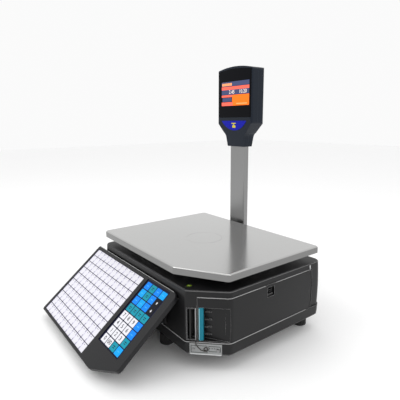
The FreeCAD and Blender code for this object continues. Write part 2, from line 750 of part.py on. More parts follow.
def make_base_tray(tray):
    """Base tray from its plain shell: bosses, load-cell pad, holes and drain slots."""
    skin = body_block(0)
    pad_y = CELL_Y - CELL_LENGTH / 2 + CELL_END + CELL_BOLT_PITCH / 2
    parts = [tray, hinge_boss(FLOOR_TOP, BASE_SEAM).common(skin)]
    parts.append(centred_box(CELL_X, pad_y, CELL_WIDTH + 2 * CELL_PAD_MARGIN, CELL_PAD_LENGTH,
                             FOOT_HEIGHT, CELL_Z))
    cuts = []
    for x, y in foot_places().values():
        parts.append(post(x, y, STUD_RADIUS + STUD_BOSS_WALL, FOOT_HEIGHT,
                          FOOT_HEIGHT + STUD_BOSS_HEIGHT).common(skin))
        cuts.append(post(x, y, STUD_RADIUS + RUNNING_FIT, 0, FOOT_HEIGHT + STUD_REACH + STUD_RADIUS))
    for x, y in HOUSING_SCREW_PLACES:
        parts.append(post(x, y, BOSS_RADIUS, FOOT_HEIGHT, BASE_SEAM))
        cuts.append(post(x, y, HOUSING_SCREW_RADIUS + SCREW_CLEARANCE, 0, BASE_SEAM + PAST))
        cuts.append(post(x, y, SCREW_HEAD_RADIUS + RECESS_ROOM, 0, FOOT_HEIGHT + SCREW_RECESS))
    for x, y in CHASSIS_POSTS:
        parts.append(post(x, y, BOSS_RADIUS, FOOT_HEIGHT, PLATE_Z))
    for x, y in cell_bolt_places(-1):
        cuts.append(post(x, y, CELL_BOLT_RADIUS, CELL_Z - CELL_BOLT_BITE - BOLT_HOLE_ROOM, CELL_Z + PAST))
    cuts.append(post(HINGE_X, HINGE_Y, HINGE_PIN_RADIUS, FLOOR_TOP + HINGE_BOSS_HALF, BASE_SEAM + PAST))
    cuts += [seal_hole(u, SEAL_SHANK_RADIUS) for u in SEAL_SCREW_PLACES]
    for row in range(FLOOR_SLOT_COUNT):
        cuts.append(rounded_box(FLOOR_SLOT_X, FLOOR_SLOT_Y + FLOOR_SLOT_PITCH * row, FLOOR_SLOT_LENGTH,
                                FLOOR_SLOT_WIDTH, FLOOR_SLOT_RADIUS, FOOT_HEIGHT - PAST, FLOOR_TOP + PAST))
    return fuse_all(parts).cut(cuts)


def make_upper_housing(shell):
    """Upper housing from its plain shell: bosses, collar, door opening, label slot, ports and vents."""
    skin = body_block(0)
    opening_width = POST_WIDTH + 2 * POST_ROOM
    opening_length = POST_LENGTH + 2 * POST_ROOM
    parts = [shell, hinge_boss(DOOR_TOP, BODY_TOP - PAST).common(skin)]
    parts += [post(x, y, BOSS_RADIUS, BASE_SEAM, BODY_TOP - PAST) for x, y in HOUSING_SCREW_PLACES]
    collar = rounded_box(CELL_X, POST_Y, opening_width + 2 * COLLAR_WIDTH, opening_length + 2 * COLLAR_WIDTH,
                         OPENING_RADIUS + COLLAR_WIDTH, BODY_TOP - PAST, BODY_TOP + COLLAR_HEIGHT)
    housing = fuse_all([fuse_all(parts).cut(door_zone(DOOR_GAP)), collar])
    cuts = [cut_box(SLOT_START, SLOT_START + SLOT_WIDTH, -WALL_CUT, WALL_CUT, SLOT_BOTTOM, SLOT_TOP),
            rounded_box(CELL_X, POST_Y, opening_width, opening_length, OPENING_RADIUS,
                        BODY_TOP - WALL_CUT, BODY_TOP + WALL_CUT),
            post(HINGE_X, HINGE_Y, HINGE_PIN_RADIUS, DOOR_TOP - PAST, DOOR_TOP + HINGE_PIN_LENGTH / 2),
            post(LEVEL_X, LEVEL_Y, LEVEL_RADIUS, BODY_TOP - WALL_CUT, BODY_TOP + PAST),
            rear_box(INLET_X, INLET_Z, INLET_WIDTH, INLET_HEIGHT, WALL_CUT),
            rear_box(SWITCH_X, INLET_Z, SWITCH_WIDTH, SWITCH_HEIGHT, WALL_CUT),
            rear_box(PORT_X, INLET_Z, PORT_WIDTH, PORT_HEIGHT, WALL_CUT)]
    for x, y in HOUSING_SCREW_PLACES:
        cuts.append(post(x, y, HOUSING_SCREW_RADIUS, BASE_SEAM - PAST,
                         BASE_SEAM + HOUSING_SCREW_GRIP + SCREW_HOLE_ROOM))
    for index in range(VENT_COUNT):
        cuts.append(rear_box(REAR_VENT_X + REAR_VENT_PITCH * index, FOOT_HEIGHT + REAR_VENT_Z,
                             REAR_VENT_WIDTH, REAR_VENT_HEIGHT, WALL_CUT))
        front = SIDE_VENT_Y + SIDE_VENT_PITCH * index
        cuts.append(box(-2 * WALL, 2 * WALL, front, front + SIDE_VENT_WIDTH, FOOT_HEIGHT + SIDE_VENT_LOW,
                        FOOT_HEIGHT + SIDE_VENT_HIGH))
    return housing.cut(cuts)


def rear_box(x, z, width, height, depth):
    """Box that reaches through the rear wall, centred at x and z."""
    return box(x - width / 2, x + width / 2, BODY_DEPTH - depth, BODY_DEPTH + depth,
               z - height / 2, z + height / 2)


def make_housing_screws():
    """Long screws that hold the housing down onto the base tray."""
    head_face = FOOT_HEIGHT + SCREW_RECESS
    length = BASE_SEAM + HOUSING_SCREW_GRIP - head_face
    return Part.makeCompound([screw(x, y, SCREW_HEAD_RADIUS, SCREW_HEAD_HEIGHT, HOUSING_SCREW_RADIUS, length,
                                    head_face, up=False) for x, y in HOUSING_SCREW_PLACES])


def make_foot(x, y):
    """Levelling foot: moulded pad with a fluted wheel on a stud."""
    top = FOOT_HEIGHT - FOOT_TRAVEL_UP - FOOT_TOP_ROOM
    toe = Part.makeCone(FOOT_RADIUS - FOOT_BEVEL, FOOT_RADIUS, FOOT_BEVEL)
    pad = post(0, 0, FOOT_RADIUS, FOOT_BEVEL, FOOT_PAD_HEIGHT)
    wheel = post(0, 0, FOOT_RADIUS, FOOT_PAD_HEIGHT, top)
    reach = FOOT_RADIUS + FLUTE_OUTSET
    flutes = []
    for index in range(FOOT_FLUTES):
        angle = (index + 0.5) * 2 * math.pi / FOOT_FLUTES
        flutes.append(post(reach * math.cos(angle), reach * math.sin(angle), FLUTE_RADIUS,
                           FOOT_PAD_HEIGHT - PAST, top + PAST))
    stud = post(0, 0, STUD_RADIUS, top - PAST, FOOT_HEIGHT + STUD_REACH)
    foot = fuse_all([toe, pad, wheel.cut(flutes), stud])
    foot.translate(Vector(x, y, 0))
    return foot


# ---------------------------------------------------------------- printer door
def scoop_block():
    """Space of the finger scoop: deep behind the lever, running out along the cut corner."""
    start_u = LEVER_START + LEVER_WIDTH + 2 * REST_GAP
    start = Vector(start_u, SCOOP_DEPTH, SLOT_BOTTOM)
    middle = Vector((start_u + SCOOP_END) / 2 - SCOOP_BACKING, SCOOP_DEPTH * SCOOP_BOW, SLOT_BOTTOM)
    finish = Vector(SCOOP_END, -SCOOP_BACKING, SLOT_BOTTOM)
    far_end = Vector(SCOOP_END, -FAR, SLOT_BOTTOM)
    far_start = Vector(start_u, -FAR, SLOT_BOTTOM)
    wire = Part.Wire([Part.Arc(start, middle, finish).toShape(),
                      Part.LineSegment(finish, far_end).toShape(),
                      Part.LineSegment(far_end, far_start).toShape(),
                      Part.LineSegment(far_start, start).toShape()])
    return on_cut(Part.Face(wire).extrude(Vector(0, 0, SLOT_HEIGHT + PAST)))


def door_ribs(thick):
    """Ribs across the finger scoop, cut to the door's thickened block."""
    start = LEVER_START + LEVER_WIDTH + 2 * REST_GAP + RIB_START
    ribs = []
    for index in range(RIB_COUNT):
        z = SLOT_BOTTOM + RIB_RISE + RIB_PITCH * index
        ribs.append(cut_box(start, start + RIB_LENGTH, -SCOOP_DEPTH - RIB_WIDTH, -RIB_FACE,
                            z - RIB_WIDTH / 2, z + RIB_WIDTH / 2).common(thick))
    return ribs


def hinge_barrel(outer, low, high):
    """Hinge barrel on the door's rear end and the web that joins it to the skin."""
    barrel = post(HINGE_X, HINGE_Y, HINGE_RADIUS, low, high)
    bridge = box(HINGE_X, HINGE_X + HINGE_RADIUS - RUNNING_FIT, DOOR_REAR - DOOR_WALL, HINGE_Y, low, high)
    link = box(HINGE_X - SHARPEST, HINGE_X + HINGE_RADIUS - SHARPEST, DOOR_REAR - 2 * HINGE_RADIUS, HINGE_Y,
               low, high)
    return [link.common(outer), bridge.common(outer), barrel]


def make_door():
    """Printer door: proud skin, finger scoop with ribs, lever pocket, lock pocket and hinge barrel."""
    low = BASE_SEAM + DOOR_GAP
    high = DOOR_TOP - DOOR_GAP
    outer = body_block(-DOOR_PROUD)
    thick = outer.cut(body_block(SCOOP_DEPTH + SCOOP_BACKING))
    skin = outer.cut(body_block(DOOR_WALL - DOOR_PROUD)).common(door_zone(0))
    grip = thick.common(cut_box(DOOR_START, CUT_LENGTH - 2 * SCOOP_BACKING, -GRIP_DEPTH, FAR,
                                SLOT_BOTTOM - WALL, SLOT_TOP + SCOOP_BACKING))
    lock = thick.common(box(BODY_WIDTH - LOCK_POCKET, BODY_WIDTH + LOCK_POCKET, LOCK_Y - LOCK_BACKING,
                            LOCK_Y + LOCK_BACKING, LOCK_Z - LOCK_BACKING, LOCK_Z + LOCK_BACKING))
    door = fuse_all([skin, grip, lock] + hinge_barrel(outer, low, high))
    door = door.cut([scoop_block(), lever_pocket(LEVER_ROOM)])
    door = door.fuse(door_ribs(thick)).removeSplitter()
    pin_x, pin_y = lever_pin_place()
    pin_room = LEVER_PIN_OVERHANG + PIN_HOLE_ROOM
    half_pin = HINGE_PIN_LENGTH / 2 + PAST
    pin_hole = HINGE_PIN_RADIUS + RUNNING_FIT
    pocket = box(BODY_WIDTH - LOCK_PLATE_FACE + PIN_HOLE_ROOM, BODY_WIDTH + LOCK_POCKET,
                 LOCK_Y - LOCK_POCKET, LOCK_Y + LOCK_POCKET, LOCK_Z - LOCK_POCKET, LOCK_Z + LOCK_POCKET)
    slide_half = LOCK_HALF_WIDTH + LOCK_SIDE_ROOM
    slide = box(BODY_WIDTH - LOCK_PLATE_DEPTH - PIN_HOLE_ROOM, BODY_WIDTH - LOCK_PLATE_FACE + LOCK_SIDE_ROOM,
                LOCK_Y - slide_half, LOCK_Y + slide_half, LOCK_Z - LOCK_PLATE_LOW - PIN_HOLE_ROOM,
                LOCK_Z + LOCK_SPRING_HIGH + LOCK_SIDE_ROOM)
    return door.cut([post(HINGE_X, HINGE_Y, pin_hole, low - PAST, low + half_pin),
                     post(HINGE_X, HINGE_Y, pin_hole, high - half_pin, high + PAST),
                     post(pin_x, pin_y, LEVER_PIN_RADIUS, SLOT_BOTTOM - pin_room,
                          SLOT_TOP + PAST + pin_room),
                     pocket, slide])


def lever_pocket(gap):
    """Space that the release lever fills, grown by gap."""
    return cut_box(LEVER_START - 2 * gap, LEVER_START + LEVER_WIDTH + gap + PIN_HOLE_ROOM,
                   -LEVER_DEPTH - gap - 2 * PIN_HOLE_ROOM, WALL_CUT, SLOT_BOTTOM - gap,
                   SLOT_TOP + gap + PAST)


def lever_pin_place():
    """Plan place of the release lever's pin."""
    return cut_point(LEVER_START + LEVER_PIN_U, LEVER_PIN_W)


def make_lever():
    """Release lever: upright grip bar with a rounded outer face, bored for its pin."""
    end = LEVER_START + LEVER_WIDTH
    points = [(LEVER_START, -LEVER_FACE), (end, PAST - LEVER_FACE), (end, LEVER_DEPTH - LEVER_FOOT),
              (LEVER_START + LEVER_SHOULDER, LEVER_DEPTH), (LEVER_START, LEVER_DEPTH)]
    bar = on_cut(prism(points, LEVER_RADII, SLOT_BOTTOM + PIN_HOLE_ROOM, SLOT_TOP + PAST - PIN_HOLE_ROOM))
    pin_x, pin_y = lever_pin_place()
    return bar.cut(post(pin_x, pin_y, LEVER_PIN_RADIUS + RUNNING_FIT, SLOT_BOTTOM - PAST,
                        SLOT_TOP + 2 * PAST))


def make_lever_pin():
    """Steel pin of the release lever."""
    pin_x, pin_y = lever_pin_place()
    return post(pin_x, pin_y, LEVER_PIN_RADIUS, SLOT_BOTTOM - LEVER_PIN_OVERHANG,
                SLOT_TOP + PAST + LEVER_PIN_OVERHANG)


def make_hinge_pins():
    """Upper and lower hinge pins of the printer door."""
    half = HINGE_PIN_LENGTH / 2
    lower = post(HINGE_X, HINGE_Y, HINGE_PIN_RADIUS, BASE_SEAM - half, BASE_SEAM + half)
    upper = post(HINGE_X, HINGE_Y, HINGE_PIN_RADIUS, DOOR_TOP - half, DOOR_TOP + half)
    return Part.makeCompound([lower, upper])


def make_lock_tab():
    """Sliding lock tab with a finger ledge, running in the door's lock pocket."""
    left = LOCK_Y - LOCK_HALF_WIDTH
    right = LOCK_Y + LOCK_HALF_WIDTH
    plate = box(BODY_WIDTH - LOCK_PLATE_DEPTH, BODY_WIDTH - LOCK_PLATE_FACE, left, right,
                LOCK_Z - LOCK_PLATE_LOW, LOCK_Z + LOCK_PLATE_HIGH)
    ledge = box(BODY_WIDTH - LOCK_PLATE_FACE - SEAT_GAP, BODY_WIDTH + LOCK_LEDGE_PROUD, left, right,
                LOCK_Z - LOCK_LEDGE_LOW, LOCK_Z - LOCK_LEDGE_HIGH)
    return fuse_all([plate, ledge])


def make_lock_spring():
    """Spring that presses the lock tab down."""
    middle = BODY_WIDTH - (LOCK_PLATE_DEPTH + LOCK_PLATE_FACE) / 2
    return coil(middle, LOCK_Y, LOCK_SPRING_RADIUS, LOCK_SPRING_WIRE, LOCK_Z + LOCK_SPRING_LOW,
                LOCK_Z + LOCK_SPRING_HIGH, LOCK_SPRING_TURNS)


# ---------------------------------------------------------------- label slot, seal and level
def make_slot_frame():
    """Thin frame inside the label slot."""
    end = SLOT_START + SLOT_WIDTH
    outer = cut_box(SLOT_START + REST_GAP, end - REST_GAP, -FRAME_DEPTH, FRAME_PROUD, SLOT_BOTTOM + REST_GAP,
                    SLOT_TOP - REST_GAP)
    wall = REST_GAP + FRAME_WALL
    inner = cut_box(SLOT_START + wall, end - REST_GAP - FRAME_RIGHT_WALL, -WALL_CUT, WALL_CUT,
                    SLOT_BOTTOM + wall, SLOT_TOP - wall)
    return outer.cut(inner)


def make_peel_bar():
    """Steel bar at which the label parts from its backing."""
    wall = REST_GAP + FRAME_WALL
    return cut_box(PEEL_BAR_START, PEEL_BAR_START + PEEL_BAR_WIDTH, -PEEL_BAR_DEPTH, PEEL_BAR_PROUD,
                   SLOT_BOTTOM + wall, SLOT_TOP - wall)


def seal_face():
    """How far out the seal plate's face lies where the highest part of a screw's head meets it."""
    return BASE_PROUD + SEAL_THICKNESS + crown_at(SEAL_MIDDLE + SEAL_HEAD_RADIUS)


def make_seal_plate():
    """Pale plate under the slot that covers and seals the calibration access."""
    layer = body_block(-BASE_PROUD - SEAL_THICKNESS).cut(body_block(-BASE_PROUD - RUNNING_FIT))
    plate = layer.common(cut_box(SEAL_START, SEAL_START + SEAL_WIDTH, -WALL_CUT, WALL_CUT, SEAL_LOW,
                                 SEAL_HIGH))
    face = seal_face() - SEAL_GROOVE_DEPTH
    low = SEAL_LOW + WALL
    cuts = [cut_box(17, 27, face, WALL_CUT, low, low + SEAL_GROOVE),
            cut_box(17, 17 + SEAL_GROOVE, face, WALL_CUT, low, low + 15),
            cut_box(42, 52, face, WALL_CUT, low + 12, low + 12 + SEAL_GROOVE)]
    cuts += [seal_hole(u, SEAL_SHANK_RADIUS) for u in SEAL_SCREW_PLACES]
    return plate.cut(cuts)


def seal_hole(u, radius):
    """Round hole through the seal plate and the base's wall at a place along the cut corner."""
    x, y = cut_point(u, -WALL)
    return Part.makeCylinder(radius, WALL_CUT, Vector(x, y, SEAL_MIDDLE), CUT_OUT)


def make_seal_screws():
    """Sealing screws with plain round heads."""
    screws = []
    for u in SEAL_SCREW_PLACES:
        x, y = cut_point(u, seal_face())
        head = Part.makeCylinder(SEAL_HEAD_RADIUS, SEAL_HEAD_HEIGHT, Vector(x, y, SEAL_MIDDLE), CUT_OUT)
        x, y = cut_point(u, -SEAL_SHANK_DEPTH)
        shank = Part.makeCylinder(SEAL_SHANK_RADIUS - 0.4 * RUNNING_FIT, SEAL_SHANK_LENGTH,
                                  Vector(x, y, SEAL_MIDDLE), CUT_OUT)
        screws.append(fuse_all([head, shank]))
    return Part.makeCompound(screws)


def make_seal_wire():
    """Sealing wire: an open ring that hangs against the seal plate."""
    x, y = cut_point(SEAL_WIRE_U, seal_face() + SEAL_WIRE_RADIUS + REST_GAP)
    middle = Vector(x, y, SEAL_LOW + SEAL_WIRE_RISE)
    return Part.makeTorus(SEAL_RING_RADIUS, SEAL_WIRE_RADIUS, middle, CUT_OUT)


def make_level():
    """Bezel and vial of the bubble level in the top face."""
    outer = LEVEL_RADIUS - SEAT_GAP
    bore = outer - LEVEL_WALL
    bottom = BODY_TOP - LEVEL_DEPTH
    flange = tube(LEVEL_X, LEVEL_Y, LEVEL_RADIUS + LEVEL_FLANGE, bore, BODY_TOP,
                  BODY_TOP + LEVEL_FLANGE_HEIGHT)
    sleeve = tube(LEVEL_X, LEVEL_Y, outer, bore, bottom, BODY_TOP + PAST)
    floor = post(LEVEL_X, LEVEL_Y, outer, bottom - PAST, bottom)
    vial = post(LEVEL_X, LEVEL_Y, bore - SEAT_GAP, bottom, BODY_TOP + VIAL_RISE)
    top_edges = [edge for edge in vial.Edges if edge.BoundBox.ZMin > BODY_TOP]
    return fuse_all([flange, sleeve, floor]), vial.makeFillet(VIAL_FILLET, top_edges)


# ---------------------------------------------------------------- printer
def geared_place(x, y, teeth_a, teeth_b, direction):
    """Centre of a gear in mesh with another, in the given direction."""
    distance = GEAR_MODULE * (teeth_a + teeth_b) / 2
    turn = math.radians(direction)
    return x + distance * math.cos(turn), y + distance * math.sin(turn)


PLATEN_X, PLATEN_Y = cut_point(PLATEN_U, PLATEN_W)
IDLER_X, IDLER_Y = geared_place(PLATEN_X, PLATEN_Y, PLATEN_TEETH, IDLER_TEETH, IDLER_DIRECTION)
MOTOR_X, MOTOR_Y = geared_place(IDLER_X, IDLER_Y, IDLER_TEETH, PINION_TEETH, PINION_DIRECTION)
SPOOL_X, SPOOL_Y = geared_place(IDLER_X, IDLER_Y, IDLER_TEETH, SPOOL_TEETH, SPOOL_DIRECTION)
HEAD_PIN_X, HEAD_PIN_Y = cut_point(HEAD_PIN_U, HEAD_PIN_W)


def make_chassis():
    """Printer chassis: sheet floor with an upright web, the idler's stud and the platen's upper arm."""
    inside = body_block(WALL + PLATE_SIDE_ROOM)
    rear = HINGE_Y - PLATE_REAR_ROOM
    floor = box(PLATE_LEFT, BODY_WIDTH, 0, rear, PLATE_Z, PLATE_TOP).common(inside)
    floor = floor.cut([cut_box(DOOR_START - 2, FAR + CUT_LENGTH, -SCOOP_DEPTH - 2 * SCOOP_BACKING, FAR,
                               PLATE_Z - PAST, PLATE_TOP + PAST),
                       cut_box(-DOOR_START, DOOR_START, -PLATEN_RADIUS, FAR, PLATE_Z - PAST,
                               PLATE_TOP + PAST)])
    web = box(PLATE_LEFT, PLATE_LEFT + PLATE_THICKNESS, WEB_FRONT, rear, PLATE_Z, SLOT_TOP + WEB_RISE)
    stud = post(IDLER_X, IDLER_Y, IDLER_STUD_RADIUS, GEAR_Z - 2, PLATE_TOP)
    stop = post(IDLER_X, IDLER_Y, IDLER_STOP_RADIUS, GEAR_Z - 3, GEAR_Z - 0.5)
    arm_low = SLOT_TOP + PLATE_THICKNESS
    arm_high = arm_low + PLATE_THICKNESS
    arm = cut_box(-1, 14, -30, -12, arm_low, arm_high)
    bridge = cut_box(-3, 4, -36, -14, arm_low, arm_high)
    x, y = cut_point(-2.5, -34)
    column = centred_box(x, y, COLUMN_WIDTH, COLUMN_WIDTH, PLATE_Z, arm_high)
    chassis = fuse_all([floor, web, stud, stop, arm, bridge, column])
    low = PLATE_Z - PAST
    high = PLATE_TOP + PAST
    return chassis.cut([post(PLATEN_X, PLATEN_Y, PLATEN_SHAFT_RADIUS + RUNNING_FIT, low, SLOT_TOP + WEB_RISE),
                        post(MOTOR_X, MOTOR_Y, 2 * ROTOR_RADIUS, low, high),
                        post(SPOOL_X, SPOOL_Y, SPOOL_AXLE_RADIUS + RUNNING_FIT, low, high),
                        post(HEAD_PIN_X, HEAD_PIN_Y, HEAD_PIN_RADIUS, low, high)])


def make_platen():
    """Rubber platen roller, its steel shaft and its gear."""
    shaft = post(PLATEN_X, PLATEN_Y, PLATEN_SHAFT_RADIUS, GEAR_Z, SLOT_TOP + SHAFT_OVERHANG)
    roller = tube(PLATEN_X, PLATEN_Y, PLATEN_RADIUS, PLATEN_SHAFT_RADIUS, PLATE_TOP + PAST, SLOT_TOP + 0.5)
    wheel = gear(PLATEN_X, PLATEN_Y, PLATEN_TEETH, PLATEN_SHAFT_RADIUS, GEAR_Z, IDLER_DIRECTION)
    return roller, shaft, wheel


def make_gear_train():
    """Idler gear, motor pinion with its shaft, and take-up spool with its gear."""
    idler_phase = mesh_phase(IDLER_DIRECTION, PLATEN_TEETH, IDLER_DIRECTION, IDLER_TEETH)
    idler = gear(IDLER_X, IDLER_Y, IDLER_TEETH, IDLER_STUD_RADIUS + RUNNING_FIT, GEAR_Z, idler_phase)
    pinion_phase = mesh_phase(idler_phase, IDLER_TEETH, PINION_DIRECTION, PINION_TEETH)
    pinion_wheel = gear(MOTOR_X, MOTOR_Y, PINION_TEETH, ROTOR_RADIUS / 2, GEAR_Z, pinion_phase)
    rotor = post(MOTOR_X, MOTOR_Y, ROTOR_RADIUS, GEAR_Z, PLATE_TOP + ROTOR_REACH)
    spool_phase = mesh_phase(idler_phase, IDLER_TEETH, SPOOL_DIRECTION, SPOOL_TEETH)
    wheel = gear(SPOOL_X, SPOOL_Y, SPOOL_TEETH, SPOOL_AXLE_RADIUS / 3, GEAR_Z, spool_phase)
    axle = post(SPOOL_X, SPOOL_Y, SPOOL_AXLE_RADIUS, GEAR_Z, PLATE_TOP + PLATE_THICKNESS)
    flange_low = PLATE_TOP + 2 * REST_GAP
    flange = post(SPOOL_X, SPOOL_Y, SPOOL_RADIUS, flange_low, flange_low + SPOOL_FLANGE)
    hub = post(SPOOL_X, SPOOL_Y, SPOOL_HUB_RADIUS, PLATE_TOP + PLATE_THICKNESS, SLOT_TOP - PLATE_THICKNESS)
    return idler, fuse_all([pinion_wheel, rotor]), fuse_all([wheel, axle, flange, hub])


def make_motor():
    """Stepper motor standing on the chassis, with room for its rotor shaft."""
    top = PLATE_TOP + MOTOR_HEIGHT
    can = post(MOTOR_X, MOTOR_Y, MOTOR_RADIUS, PLATE_TOP, top)
    lid = post(MOTOR_X, MOTOR_Y, MOTOR_RADIUS - MOTOR_LID_INSET, top - PAST, top + MOTOR_LID_HEIGHT)
    bore = post(MOTOR_X, MOTOR_Y, ROTOR_RADIUS + RUNNING_FIT, PLATE_Z, PLATE_TOP + ROTOR_REACH + ROTOR_ROOM)
    return fuse_all([can, lid]).cut(bore)


def make_print_head():
    """Thermal print head, the carrier that presses it onto the platen, and the carrier's pin."""
    low = SLOT_BOTTOM + PRINT_HEAD_INSET
    high = SLOT_TOP - PRINT_HEAD_INSET
    start = PLATEN_U + PLATEN_RADIUS + REST_GAP
    middle = start + PRINT_HEAD_THICKNESS
    head = cut_box(start, middle, PRINT_HEAD_W - PRINT_HEAD_DEPTH, PRINT_HEAD_W, low, high)
    arm = cut_box(middle, middle + CARRIER_THICKNESS, CARRIER_END_W, PRINT_HEAD_W, low, high)
    knuckle = post(HEAD_PIN_X, HEAD_PIN_Y, KNUCKLE_RADIUS, low, high)
    elbow = cut_box(middle, HEAD_PIN_U, CARRIER_END_W - KNUCKLE_RADIUS, CARRIER_END_W + PAST, low, high)
    bore = post(HEAD_PIN_X, HEAD_PIN_Y, HEAD_PIN_RADIUS + RUNNING_FIT, PLATE_Z, SLOT_TOP)
    pin = post(HEAD_PIN_X, HEAD_PIN_Y, HEAD_PIN_RADIUS, PLATE_Z, SLOT_TOP + PAST)
    return head, fuse_all([arm, knuckle, elbow]).cut(bore), pin


def make_label_roll():
    """Label roll, its cardboard core and the fixed spindle."""
    low = PLATE_TOP + ROLL_LIFT
    high = low + LABEL_WIDTH
    roll = tube(ROLL_X, ROLL_Y, ROLL_RADIUS, CORE_RADIUS, low, high)
    core = tube(ROLL_X, ROLL_Y, CORE_RADIUS, SPINDLE_RADIUS + RUNNING_FIT, low, high)
    plate = post(ROLL_X, ROLL_Y, SPINDLE_PLATE_RADIUS, PLATE_TOP, low - REST_GAP)
    hub = post(ROLL_X, ROLL_Y, SPINDLE_RADIUS, PLATE_TOP, high + SPINDLE_OVERHANG)
    bore = post(ROLL_X, ROLL_Y, SPINDLE_RADIUS - SPINDLE_WALL, PLATE_TOP + SPINDLE_WALL, high + FAR)
    return roll, core, fuse_all([plate, hub]).cut(bore)


# ---------------------------------------------------------------- load cell, platform and pan
def cell_bolt_places(end):
    """Centres of the two bolts at the fixed (-1) or the free (+1) end of the load cell."""
    middle = CELL_Y + end * (CELL_LENGTH / 2 - CELL_END - CELL_BOLT_PITCH / 2)
    return [(CELL_X, middle - CELL_BOLT_PITCH / 2), (CELL_X, middle + CELL_BOLT_PITCH / 2)]


def make_load_cell():
    """Single-point load cell with its double-hole flexure."""
    cuts = []
    for side in (-1, 1):
        start = Vector(CELL_X - CELL_WIDTH, CELL_Y + side * CELL_HOLE_PITCH / 2, CELL_Z + CELL_HEIGHT / 2)
        cuts.append(Part.makeCylinder(CELL_HOLE_RADIUS, 2 * CELL_WIDTH, start, Vector(1, 0, 0)))
        for x, y in cell_bolt_places(side):
            cuts.append(post(x, y, CELL_BOLT_RADIUS + CELL_BOLT_ROOM, CELL_Z - PAST, CELL_TOP + PAST))
    return centred_box(CELL_X, CELL_Y, CELL_WIDTH, CELL_LENGTH, CELL_Z, CELL_TOP).cut(cuts)


def make_cell_bolts():
    """Bolts at the fixed end, driven from above, and at the free end, driven from below."""
    fixed = [screw(x, y, CELL_BOLT_HEAD, CELL_BOLT_HEAD, CELL_BOLT_RADIUS, CELL_HEIGHT + CELL_BOLT_BITE,
                   CELL_TOP)
             for x, y in cell_bolt_places(-1)]
    free = [screw(x, y, CELL_BOLT_HEAD, CELL_BOLT_HEAD, CELL_BOLT_RADIUS, CELL_HEIGHT + CELL_TOP_BITE,
                  CELL_Z, up=False) for x, y in cell_bolt_places(1)]
    return Part.makeCompound(fixed), Part.makeCompound(free)


def pad_places():
    """Centres of the four pads under the pan; the one at the cut corner stands further in."""
    shares = ((-1, -1, PAD_SHARE), (-1, 1, PAD_SHARE), (1, 1, PAD_SHARE), (1, -1, CUT_PAD_SHARE))
    return [(CELL_X + side * share * ARM_REACH_X, CELL_Y + end * share * ARM_REACH_Y)
            for side, end, share in shares]


def make_carrier():
    """Cast platform carrier: post on the load cell and four arms under the pan."""
    parts = [rounded_box(CELL_X, POST_Y, POST_WIDTH, POST_LENGTH, POST_RADIUS, CELL_TOP, ARM_Z + 2 * PAST),
             rounded_box(CELL_X, (CELL_Y + POST_Y) / 2, HUB_WIDTH,
                         POST_LENGTH + POST_Y - CELL_Y + 2 * HUB_MARGIN, 3 * POST_RADIUS, ARM_Z, ARM_TOP)]
    for x, y in pad_places():
        reach = math.hypot(x - CELL_X, y - CELL_Y)
        arm = box(0, reach, -ARM_WIDTH / 2, ARM_WIDTH / 2, ARM_Z, ARM_TOP)
        arm.rotate(Vector(0, 0, 0), Vector(0, 0, 1), math.degrees(math.atan2(y - CELL_Y, x - CELL_X)))
        arm.translate(Vector(CELL_X, CELL_Y, 0))
        parts += [arm, post(x, y, ARM_WIDTH / 2, ARM_Z, ARM_TOP)]
    holes = [post(x, y, CELL_BOLT_RADIUS, CELL_TOP - PAST, CELL_TOP + CELL_TOP_BITE + BOLT_HOLE_ROOM)
             for x, y in cell_bolt_places(1)]
    holes += [post(x, y, PEG_RADIUS, ARM_TOP - PEG_DEPTH, ARM_TOP + PAST) for x, y in pad_places()]
    return fuse_all(parts).cut(holes)


def make_pads():
    """Rubber pads that carry the pan, each with a peg in its arm."""
    pads = []
    for x, y in pad_places():
        pad = post(x, y, PAD_RADIUS, ARM_TOP, UNDER_PAN)
        peg = post(x, y, PEG_RADIUS, ARM_TOP - PEG_DEPTH + PIN_HOLE_ROOM, ARM_TOP + PAST)
        pads.append(fuse_all([pad, peg]))
    return Part.makeCompound(pads)


def pan_block(offset, low, high, edge_radius):
    """Solid in the pan's outline, moved inwards by offset, with a rounded upper edge."""
    turn = math.atan2(PAN_CUT_Y, PAN_CUT_X)
    front_shift = offset * math.tan(turn / 2)
    side_shift = offset * math.tan((math.pi / 2 - turn) / 2)
    points = [(offset, offset), (PAN_WIDTH - PAN_CUT_X - front_shift, offset),
              (PAN_WIDTH - offset, PAN_CUT_Y + side_shift), (PAN_WIDTH - offset, PAN_DEPTH - offset),
              (offset, PAN_DEPTH - offset)]
    block = prism(points, [radius - offset for radius in PAN_RADII], low, high)
    top_edges = [edge for edge in block.Edges if edge.BoundBox.ZMin > high - EDGE_TOLERANCE]
    return block.makeFillet(edge_radius, top_edges)


def make_pan():
    """Stainless weighing pan with a folded lip and a pressed ring."""
    outer = pan_block(0, PAN_TOP - PAN_LIP, PAN_TOP, PAN_EDGE_RADIUS)
    inner = pan_block(PAN_SHEET, PAN_TOP - 2 * PAN_LIP, UNDER_PAN, PAN_EDGE_RADIUS - PAN_SHEET)
    ring = Part.makeTorus(PAN_RING_RADIUS, PAN_RING_WIRE,
                          Vector(PAN_WIDTH / 2, PAN_DEPTH / 2, PAN_TOP + PAN_RING_WIRE / 2))
    return outer.cut(inner).cut(ring)


